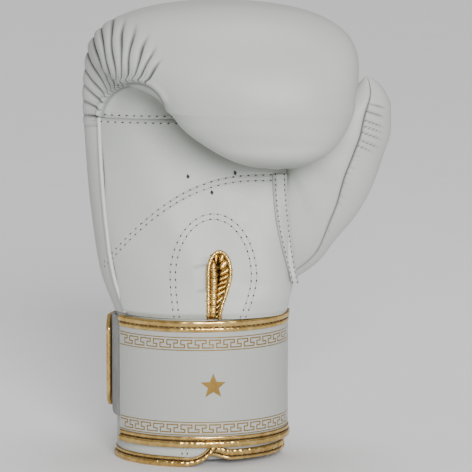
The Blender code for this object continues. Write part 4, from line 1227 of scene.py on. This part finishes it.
@dataclass
class Cuff:
    """The cuff's leathers, bindings, flaps and linings."""

    hand: Hand
    stitches: Stitching
    gold_stitches: Stitching
    middle_x: float = -0.5
    half_width: float = 54.5
    half_depth: float = 40.0
    wall_thick: float = 6.5
    top: float = 98.2
    hem: float = 7.0
    hinges: tuple[float, float] = (184.0, -4.0)
    right_rise: float = 4.5
    corner: tuple[float, float] = (261.0, 281.0)
    corner_rise: float = 17.0

    def face(self, angle: Array, out: Array, height: Array) -> Array:
        """Points of the cuff's oval, x = (a + out) cos and y = (b + out) sin of the angle."""
        angle, out, height = np.broadcast_arrays(np.radians(angle), out, height)
        x = self.middle_x + (self.half_width + out) * np.cos(angle)
        y = (self.half_depth + out) * np.sin(angle)
        return self.hand.moved(np.stack((x, y, height), axis=-1))

    def up(self, angle: Array) -> Array:
        """The way out of the oval at each angle."""
        turn = np.radians(angle)
        way = np.stack((np.cos(turn) / self.half_width, np.sin(turn) / self.half_depth, 0 * turn), axis=-1)
        return unit(way)

    def slab(self, name: str, angles: Array, low: Array, high: float, outs: tuple[Array, Array], piece: Piece,
             rows: int = 40, wave: float = 0.3) -> bpy.types.Object:
        """A leather wall of the cuff, crowned by wave and rounded in at its edges."""
        a = angles[None, :]
        z = low + (high - low) * np.linspace(0, 1, rows)[:, None] + 0 * a
        inner, outer = outs
        to_edge = np.minimum(z - low, high - z)
        soft = wave * ripple(z * 0.11 + a * 0.05, a * 0.09, z * 0.23 - a * 0.07)
        edge = -0.5 * np.exp(-to_edge / 0.9)
        shade = 0.35 * np.exp(-to_edge / 0.8) + 0 * a
        return piece.place(wall(name, self.face(a, outer + soft + edge, z), self.face(a, inner + 0 * soft, z),
                                shade))

    def edging(self, name: str, angles: Array, height: Array, width: Array, outs: tuple[Array, Array],
               rolls: tuple, piece: Piece, twist: float = 0.0, crease_dark: float = 0.85) -> bpy.types.Object:
        """A binding folded over an edge: rolls side by side with a sewn crease between them.

        Across the face, with t the share of the way over a roll, the roll stands out by its
        height times (1 - |2t - 1|^2.6)^(1/2.6).  Slanting tucks are a sine of the distance
        along the binding and across it.

        Args:
            name: the piece's name.
            angles: where its rings are round the cuff.
            height: height of its middle line at each ring.
            width: its width at each ring.
            outs: distance out of the oval of its inside and of its creases.
            rolls: (start, end, height) of each roll, as shares of the width from its top.
            piece: where it belongs.
            twist: depth of the tucks on the last roll.
            crease_dark: how much painted shade darkens its creases, from 0 to 1.

        Returns:
            The placed piece.
        """
        height, width, inside, face = (np.broadcast_to(v, angles.shape) for v in (height, width, *outs))
        t = np.linspace(0, 1, 43)
        bulge = np.zeros_like(t)
        for start, end, tall in rolls:
            over = np.abs(2 * np.clip((t - start) / (end - start), 0, 1) - 1)
            bulge = np.maximum(bulge, tall * (1 - over**2.6) ** (1 / 2.6))
        path = self.face(angles, 0.0, height)
        run = np.concatenate(([0], np.cumsum(np.linalg.norm(np.diff(path, axis=0), axis=1))))[:, None]
        tuck = ripple(run * 1.15 + t * 3.4, run * 1.9 - t * 2.2 + 1.3) * (t > rolls[-1][0])
        uneven = 0.14 * ripple(run * 0.33 + t, run * 0.71 + 2)
        rise = face[:, None] + bulge * (1 + uneven) + twist * tuck * (bulge > 0.2)
        back = np.linspace(1, 0, 9)[1:-1]
        across = (np.concatenate((t, back)) - 0.5) * width[:, None]
        rise = np.concatenate((rise, np.repeat(inside[:, None], 7, axis=1)), axis=1)
        up = self.up(angles)
        rings = along(path, up, across, rise)
        # Painted shade in the creases and in the tucks' low places, and on the binding's hidden inside.
        shade = crease_dark * np.exp(-((bulge / 0.3) ** 2)) + 0.25 * twist * np.maximum(-tuck, 0) * 3
        shade = np.concatenate((shade + 0 * run, np.full((len(angles), 7), 0.4)), axis=1)
        crease = int(np.argmin(bulge + (t < 0.2) + (t > 0.8))) + 1
        self.gold_stitches.add(piece.body, rings[4:-4, crease] + up[4:-4] * 0.45, up[4:-4])
        return piece.place(rod(name, rings, shade=shade))

    def back(self) -> None:
        """The back of the cuff with its hem, which rises to the right flap's hem."""
        angles = np.linspace(self.hinges[1], self.hinges[0], 240)
        climb = self.right_rise * (1 - ease(angles, self.hinges[1], 30))
        self.slab("cuff_back_leather", angles, self.hem - 1 + climb, self.top, (-1.3, 0.0),
                  Piece("glove", Finishes.CUFF_LEATHER, ("cuff_back",), fill=0.5))
        gold = Piece("glove", Finishes.GOLD_SMOOTH, ("hem_binding_back",), "gold_leather")
        self.edging("hem_back_gold", angles, self.hem / 2 + climb, self.hem, (-self.wall_thick, 0.0),
                    HEM_ROLLS, gold, 0.3)
        for height in (self.top - 3.5, self.top - 7.0):
            path = self.face(angles, 0.2, height)
            self.stitches.add("glove", path, self.up(angles))

    def angle_at(self, x: float) -> float:
        """The palm side's angle where the oval has this x."""
        return 360 - math.degrees(math.acos((x - self.middle_x) / self.half_width))

    def hinge(self, at: float, to: float) -> tuple[Vector, Vector]:
        """Start and end, in metres, of the stretch from one angle to another that turns."""
        start, end = (Vector(self.face(np.array(angle), 0.0, 50.0) * METRES) for angle in (at, to))
        return start, Vector((start.x, end.y, end.z))

    def flaps(self) -> None:
        """Both padded halves of the palm side; the left one laps over the right one.

        The left flap's lower corner is a quarter oval: its edge climbs by the rise times
        1 - sqrt(1 - t^2), with t the share of the way round the corner.
        """
        first, last = self.corner
        left = np.concatenate((np.linspace(self.hinges[0], first, 110),
                               np.linspace(first, last - 0.3, 50)[1:]))
        thin = 1 - ease(last - left, 0, 14)
        t = np.clip((left - first) / (last - first), 0, 0.999)
        climb = self.corner_rise * (1 - np.sqrt(1 - t * t))
        over = self.hinge(184.6, 190.5)
        piece = Piece("left_flap", Finishes.CUFF_LEATHER, ("cuff_flap_left",), fill=0.5, across=over)
        self.slab("flap_left_leather", left, self.hem - 1.6 + climb, self.top,
                  (-self.wall_thick + 4.1 * thin[None], 0.0), piece)
        turn = np.linspace(0, np.pi / 2, 60)
        angles = np.concatenate((np.linspace(self.hinges[0], first, 120),
                                 first + (last - first) * np.sin(turn[1:]),
                                 np.full(60, last)))
        height = self.hem / 2 + np.concatenate((np.zeros(120), self.corner_rise * (1 - np.cos(turn[1:])),
                                                np.linspace(self.corner_rise, self.top - 8, 61)[1:]))
        narrow = ease(angles, first - 12, last - 2)
        gold = Piece("left_flap", Finishes.GOLD_SMOOTH, ("hem_binding_left",), "gold_leather", across=over)
        self.edging("hem_left_gold", angles, height, self.hem - 2.6 * narrow,
                    (-self.wall_thick + 4.1 * ease(angles, first, last), 0.0 * narrow), HEM_ROLLS, gold, 0.3)

        under, right_hinge = self.angle_at(7.0), 360 + self.hinges[1]
        right = np.linspace(right_hinge, under, 110)
        slim = 1 - ease(right - under, 0, 14)
        outer = -3.4 * slim
        over = self.hinge(355.4, 349.5)
        piece = Piece("right_flap", Finishes.CUFF_LEATHER, ("cuff_flap_right",), fill=0.5, across=over)
        rise = self.right_rise + 2.6 * (1 - ease(right - under, 0, 16))
        self.slab("flap_right_leather", right, self.hem - 1 + rise, self.top,
                  (-self.wall_thick, outer[None]), piece)
        gold = Piece("right_flap", Finishes.GOLD_SMOOTH, ("hem_binding_right",), "gold_leather", across=over)
        self.edging("hem_right_gold", right, self.hem / 2 + rise, self.hem, (-self.wall_thick, outer),
                    HEM_ROLLS, gold, 0.3)
        for angle, body in ((258.5, "left_flap"), (262.0, "left_flap"), (286.5, "right_flap"),
                            (289.5, "right_flap")):
            z = np.linspace(9 if body == "left_flap" else 14, 60, 40)
            self.stitches.add(body, self.face(angle, 0.25, z),
                              np.broadcast_to(self.up(np.array(angle)), (40, 3)))

    def linings(self) -> None:
        """The inside of the cuff: lining and gold gusset."""
        z = np.linspace(self.hem / 2, self.top, 40)[:, None]
        a = np.linspace(0, 360, 180, endpoint=False)[None, :]
        soft = 0.25 * ripple(z * 0.2 + a * 0.11, a * 0.23)
        mesh = wall("cuff_lining_cloth", self.face(a, -7.7 + soft * 0.3, z), self.face(a, -8.5 + soft, z),
                    ring=True)
        Piece("glove", Finishes.LINING, ("cuff_lining",), "lining_cloth").place(mesh)
        a = np.linspace(257, 304, 120)[None, :]
        z = np.linspace(self.hem, self.top, 120)[:, None]
        fold = np.abs(np.sin(a * 0.9 + 0.8 * np.sin(z * 0.13)))
        outer = self.face(a, -7.2 + 0.5 * fold, z)
        shade = 0.5 * (1 - ease(fold, 0, 0.4))
        gold = Piece("glove", Finishes.GOLD, ("cuff_gusset",), "gold_leather")
        gold.place(wall("cuff_gathered_gusset", outer, self.face(a, -7.5, z + 0 * a), shade))

    def make(self) -> None:
        """Makes the cuff's pieces."""
        self.back()
        self.flaps()
        self.linings()


@dataclass
class Strap:
    """The wrist strap: printed panel, bindings, elastic and the gold-edged tab."""

    cuff: Cuff
    angles: tuple[float, float] = (207.0, 362.0)
    low: float = 13.7
    high: float = 97.7
    binding: float = 7.6
    face_out: float = 3.65
    key_period: float = 9.3
    key_height: float = 5.0
    key_line: float = 0.78
    key_from_middle: float = 28.0
    border_gap: float = 1.7
    star_x: float = 8.3
    star_point: float = 7.6
    star_notch: float = 3.1
    elastic_angles: tuple[float, float] = (177.0, 206.4)
    elastic_heights: tuple[float, float] = (29, 95)

    def panel(self) -> None:
        """The strap's leather and its cloth backing."""
        a = np.linspace(*self.angles, 260)
        low, high = self.low + self.binding - 1.0, self.high - self.binding + 1.0
        piece = Piece("strap", Finishes.STRAP_LEATHER, ("strap_panel",), fill=0.4)
        self.cuff.slab("strap_leather", a, low, high, (1.8, self.face_out), piece, 60, 0.12)
        backing = Piece("strap", Finishes.BACKING, ("strap_backing",), "hook_and_loop")
        self.cuff.slab("strap_back_cloth", a, low, high, (0.6, 1.6), backing, 20, 0.05)

    def bindings(self) -> None:
        """Gold leather folded over the strap's long edges and its end."""
        a = np.linspace(*self.angles, 360)
        gold = {"slot": "gold_leather"}
        top = Piece("strap", Finishes.GOLD_SMOOTH, ("strap_top_binding",), **gold)
        low = Piece("strap", Finishes.GOLD_SMOOTH, ("strap_bottom_binding",), **gold)
        half = self.binding / 2
        self.cuff.edging("strap_top_gold", a, self.high - half, self.binding, (0.6, 3.6), TOP_ROLLS, top, 0.1,
                         0.4)
        self.cuff.edging("strap_bottom_gold", a, self.low + half, self.binding, (0.6, 3.6), BOTTOM_ROLLS, low,
                         0.1)

    def plan(self) -> tuple[Array, Array]:
        """Angles round the panel and their distance round its face from the star's middle."""
        angle = np.linspace(190, 364, 697)
        face = self.cuff.face(angle, self.face_out, 0.0)
        run = np.concatenate(([0], np.cumsum(np.linalg.norm(np.diff(face, axis=0), axis=1))))
        return angle, run - np.interp(self.cuff.angle_at(self.star_x), angle, run)

    def on_panel(self, x: Array, z: Array, out: float) -> Array:
        """A point of the panel's face, x being the distance round the face from the star's middle."""
        angle, run = self.plan()
        return self.cuff.face(np.interp(x, run, angle), self.face_out + out, z)

    def ribbons(self, name: str, lines: list[tuple[Array, Array]], finish: Finishes, width: float,
                closed: bool = False) -> None:
        """Flat printed lines on the panel.

        Args:
            name: the piece's name.
            lines: x and height of each line's corner points, worked in the flat plan.
            finish: the ink.
            width: the line's width.
            closed: whether each line's ends meet.
        """
        points, quads, count = [], [], 0
        for x, z in lines:
            plan = np.stack((x, z) if closed else finer(x, z, 1.2), axis=1)
            before, after = np.roll(plan, 1, axis=0), np.roll(plan, -1, axis=0)
            if not closed:
                before[0], after[-1] = 2 * plan[0] - plan[1], 2 * plan[-1] - plan[-2]
            w0, w1 = plan - before, after - plan
            w0 /= np.linalg.norm(w0, axis=1, keepdims=True)
            w1 /= np.linalg.norm(w1, axis=1, keepdims=True)
            mitre = w0 + w1
            mitre /= np.linalg.norm(mitre, axis=1, keepdims=True)
            square = np.stack((-mitre[:, 1], mitre[:, 0]), axis=1)
            grow = 1 / np.clip(np.abs((w0 * mitre).sum(axis=1)), 0.5, 1)
            edge = square * (width / 2 * grow)[:, None]
            left, right = plan + edge, plan - edge
            layers = [(left, 0.12), (right, 0.12), (right, -0.15), (left, -0.15)]
            ring = np.stack([self.on_panel(p[:, 0], p[:, 1], out) for p, out in layers], axis=1)
            n = len(plan)
            sides = grid_faces(n + closed, 4, True, 0)
            if closed:
                sides = sides % (n * 4)
            points.append(ring.reshape(-1, 3))
            quads.append(sides + count)
            if not closed:
                ends = np.array([[3, 2, 1, 0], [4 * n - 4, 4 * n - 3, 4 * n - 2, 4 * n - 1]])
                quads.append(ends + count)
            count += 4 * n
        mesh = mesh_of(name, np.concatenate(points), [np.concatenate(quads)], None)
        Piece("strap", finish, slot="gold_leather").place(mesh)

    def middle(self) -> float:
        """Height of the panel's middle line."""
        return (self.low + self.high) / 2 - 1.2

    @staticmethod
    def key_line_plan(count: int) -> tuple[Array, Array]:
        """A running key pattern as one line: places in periods, and heights from -0.5 to 0.5.

        In each period the line goes forward, down, back, down, forward, up, back and up to
        the next period's start.
        """
        x = np.array([0, 0.76, 0.76, 0.50, 0.50, 1.26, 1.26, 1.0])
        z = np.array([1, 1, 0.6, 0.6, 0, 0, 0.4, 0.4]) - 0.5
        return (np.arange(count)[:, None] + x).ravel(), np.tile(z, count)

    def key_bands(self) -> None:
        """Two bands of the key pattern between thin border lines."""
        angle, run = self.plan()
        first, last = np.interp((self.angles[0] + 1.4, self.angles[1] - 3.0), angle, run)
        count = int((last - first) / self.key_period)
        along_x, up_z = self.key_line_plan(count)
        keys, borders = [], []
        for sign in (1, -1):
            level = self.middle() + sign * self.key_from_middle
            keys.append((along_x * self.key_period + first, level + up_z * self.key_height))
            for edge in (-1, 1):
                x = np.array([first - 0.5, last + 1.5])
                borders.append((x, np.full_like(x, level + edge * (self.key_height / 2 + self.border_gap))))
        self.ribbons("strap_key_pattern", keys, Finishes.GOLD_PRINT, self.key_line)
        self.ribbons("strap_key_borders", borders, Finishes.GOLD_PRINT, 0.6)

    def star(self) -> None:
        """A plain star in the middle of the panel."""
        middle = self.middle()
        point = np.arange(10)
        r = np.where(point % 2 == 0, self.star_point, self.star_notch)
        star = [(r * np.sin(point * np.pi / 5), middle + r * np.cos(point * np.pi / 5))]
        self.ribbons("strap_star", star, Finishes.GOLD_PRINT, 1.1, closed=True)
        core = [(q * np.sin(point * np.pi / 5), middle + q * np.cos(point * np.pi / 5))
                for q in (r * 0.62, r * 0.28)]
        self.ribbons("strap_star_core", core, Finishes.GOLD_PRINT, 1.5, closed=True)

    def elastic(self) -> None:
        """The brushed elastic between the panel and the tab."""
        a = np.linspace(*self.elastic_angles, 60)
        piece = Piece("elastic", Finishes.LOOP, ("strap_elastic",), "grey_elastic", 0.3)
        self.cuff.slab("elastic_cloth", a, *self.elastic_heights, (0.9, 2.9), piece, 60, 0.1)

    def tab(self) -> None:
        """The pull tab with cut corners and its gold edge."""
        first, last, low, high, cut = 100.0, 179.0, 33.6, 91.0, 7.0
        corner = math.degrees(cut / self.cuff.half_width)
        a = np.linspace(first + 2.2, last - 2.2, 150)
        inset = cut * np.clip(1 - np.minimum(a - first, last - a) / corner, 0, 1)
        t = np.linspace(0, 1, 60)[:, None]
        z = low + 2.2 + inset[None] + (high - low - 4.4 - 2 * inset[None]) * t
        crown = 0.5 * np.sin(np.pi * t) * np.sin(np.pi * (a[None] - first) / (last - first))
        outer = self.cuff.face(a[None], 6.2 + crown, z)
        inner = self.cuff.face(a[None], 3.9 + 0 * crown, z)
        Piece("tab", Finishes.STRAP_LEATHER, ("strap_tab",), fill=0.4).place(
            wall("tab_leather", outer, inner))

        knots = [(first + corner, low), (last - corner, low), (last, low + cut), (last, high - cut),
                 (last - corner, high), (first + corner, high), (first, high - cut), (first, low + cut)]
        loop = np.array([*knots, knots[0]])
        run = np.concatenate(([0], np.cumsum(np.linalg.norm(np.diff(loop, axis=0) * [0.9, 1], axis=1))))
        at = np.linspace(0, run[-1], 400, endpoint=False)
        angle, height = np.interp(at, run, loop[:, 0]), np.interp(at, run, loop[:, 1])
        path = self.cuff.face(angle, 5.0, height)
        across, rise = round_profile(1.9, 1.75, 12, 2.6)
        swell = (1 + 0.05 * np.sin(at * 1.1))[:, None]
        rings = along(path, self.cuff.up(angle), across[None] * swell, rise[None], closed=True)
        gold = Piece("tab", Finishes.GOLD_SMOOTH, ("tab_binding",), "gold_leather")
        gold.place(rod("tab_edge_gold", rings, closed=True))
        path = self.cuff.face(angle, 6.4, height)
        centre = path.mean(axis=0)
        self.cuff.stitches.add("tab", path + unit(centre - path) * 3.4, self.cuff.up(angle))

    def make(self) -> None:
        """Makes the strap's pieces."""
        self.panel()
        self.bindings()
        self.key_bands()
        self.star()
        self.elastic()
        self.tab()


@dataclass
class FrameFinishes:
    """Finishes of the frame's own nodes that stay in view."""

    nodes: dict[str, bpy.types.Object]

    def make(self) -> None:
        """Gives each node the finish of what it is."""
        table = {
            Finishes.FOAM: ("knuckle_foam_outer", "knuckle_foam_inner", "finger_foam", "palm_foam",
                            "grip_bar",
                            "thumb_foam", "cuff_foam"),
            Finishes.LINING: ("hand_lining", "thumb_lining"),
            Finishes.LOOP: ("loop_patch",),
            Finishes.HOOK: ("hook_patch",),
            Finishes.LEATHER: ("thumb_bridge",),
        }
        for finish, names in table.items():
            for name in names:
                mesh = self.nodes[name].data
                mesh.materials.clear()
                mesh.materials.append(finish.made())
                LOG.info("%s: %s", name, finish.value.name)


@dataclass
class Studio:
    """A pale floor, soft lights and the camera."""

    height: float = 0.1479
    elevation: float = 10.0
    distance: float = 2.56
    lens: float = 300.0
    key_way: tuple[float, float, float] = (0.16, -0.93, 0.34)
    key_strength: float = 3.9
    sky: tuple[float, float] = (0.32, 0.50)
    key_softness: float = 26.0

    def camera(self) -> None:
        """A long lens a little above the glove's middle, looking along +Y."""
        tilt = math.radians(self.elevation)
        data = bpy.data.cameras.new("camera")
        data.lens = self.lens
        data.sensor_width = 36
        data.clip_end = 20
        camera = bpy.data.objects.new("camera", data)
        camera.location = (0, -self.distance * math.cos(tilt), self.height + self.distance * math.sin(tilt))
        camera.rotation_euler = (math.pi / 2 - tilt, 0, 0)
        bpy.context.scene.collection.objects.link(camera)
        bpy.context.scene.camera = camera

    def light(self, name: str, place: tuple[float, float, float], power: float, size: float) -> None:
        """A square soft light that faces the glove's middle."""
        data = bpy.data.lights.new(name, "AREA")
        data.energy = power
        data.size = size
        lamp = bpy.data.objects.new(name, data)
        lamp.location = place
        away = lamp.location.copy()
        away.z -= self.height
        lamp.rotation_euler = away.to_track_quat("Z", "Y").to_euler()
        bpy.context.scene.collection.objects.link(lamp)

    def sun(self) -> None:
        """A soft distant key light from the front, above and to the right."""
        data = bpy.data.lights.new("key_light", "SUN")
        data.energy = self.key_strength
        data.angle = math.radians(self.key_softness)
        lamp = bpy.data.objects.new("key_light", data)
        lamp.rotation_euler = Vector(self.key_way).to_track_quat("Z", "Y").to_euler()
        bpy.context.scene.collection.objects.link(lamp)

    def floor(self) -> None:
        """A large pale floor."""
        size = 6000.0
        corners = np.array([[-size, -size, 0], [size, -size, 0], [size, size, 0], [-size, size, 0]])
        mesh = mesh_of("studio_floor", corners, [np.array([[0, 1, 2, 3]])], None)
        g = Graph("floor_paper")
        g.set(Base_Color=g.mix(g.noise(60, 2), (0.84, 0.84, 0.84, 1), (0.88, 0.88, 0.88, 1)), Roughness=0.9)
        mesh.materials.append(g.material)
        obj = bpy.data.objects.new("studio_floor", mesh)
        bpy.context.scene.collection.objects.link(obj)

    def make(self) -> None:
        """Makes the studio."""
        world = bpy.data.worlds.new("studio_world")
        world.use_nodes = True
        tree = world.node_tree
        way = tree.nodes.new("ShaderNodeTexCoord").outputs["Generated"]
        split = tree.nodes.new("ShaderNodeSeparateXYZ")
        rise = tree.nodes.new("ShaderNodeMapRange")
        rise.inputs["To Min"].default_value, rise.inputs["To Max"].default_value = self.sky
        tree.links.new(way, split.inputs[0])
        tree.links.new(split.outputs["Z"], rise.inputs["Value"])
        tree.links.new(rise.outputs["Result"], tree.nodes["Background"].inputs["Strength"])
        tree.nodes["Background"].inputs["Color"].default_value = (1, 1, 1, 1)
        bpy.context.scene.world = world
        self.camera()
        self.floor()
        self.sun()
        self.light("top_light", (0.1, 0.1, 1.5), 6, 0.5)


def main() -> None:
    """Loads the frame and builds the glove over it."""
    logging.basicConfig(level=logging.INFO, format="%(message)s")
    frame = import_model()
    low, high = (np.array(corner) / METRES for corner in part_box("cuff_lining"))
    shift = (float((low[0] + high[0]) / 2 + 0.5), float((low[1] + high[1]) / 2))
    hand = Hand(shift)

    Studio().make()
    white = Stitching()
    gold = Stitching(Finishes.DARK_THREAD, 7.2, 1.25)
    leather = HandLeather(hand, white)
    slit = Slit(hand, leather)
    leather.make(slit)
    slit.make()
    fine = Stitching(Finishes.THREAD, 3.4, 1.2)
    Thumb(hand, fine).make()
    cuff = Cuff(hand, white, gold)
    cuff.make()
    Strap(cuff).make()
    white.make("seam")
    fine.make("tape")
    gold.make("binding", "gold_leather")
    FrameFinishes(frame["nodes"]).make()


if __name__ == "__main__":
    main()
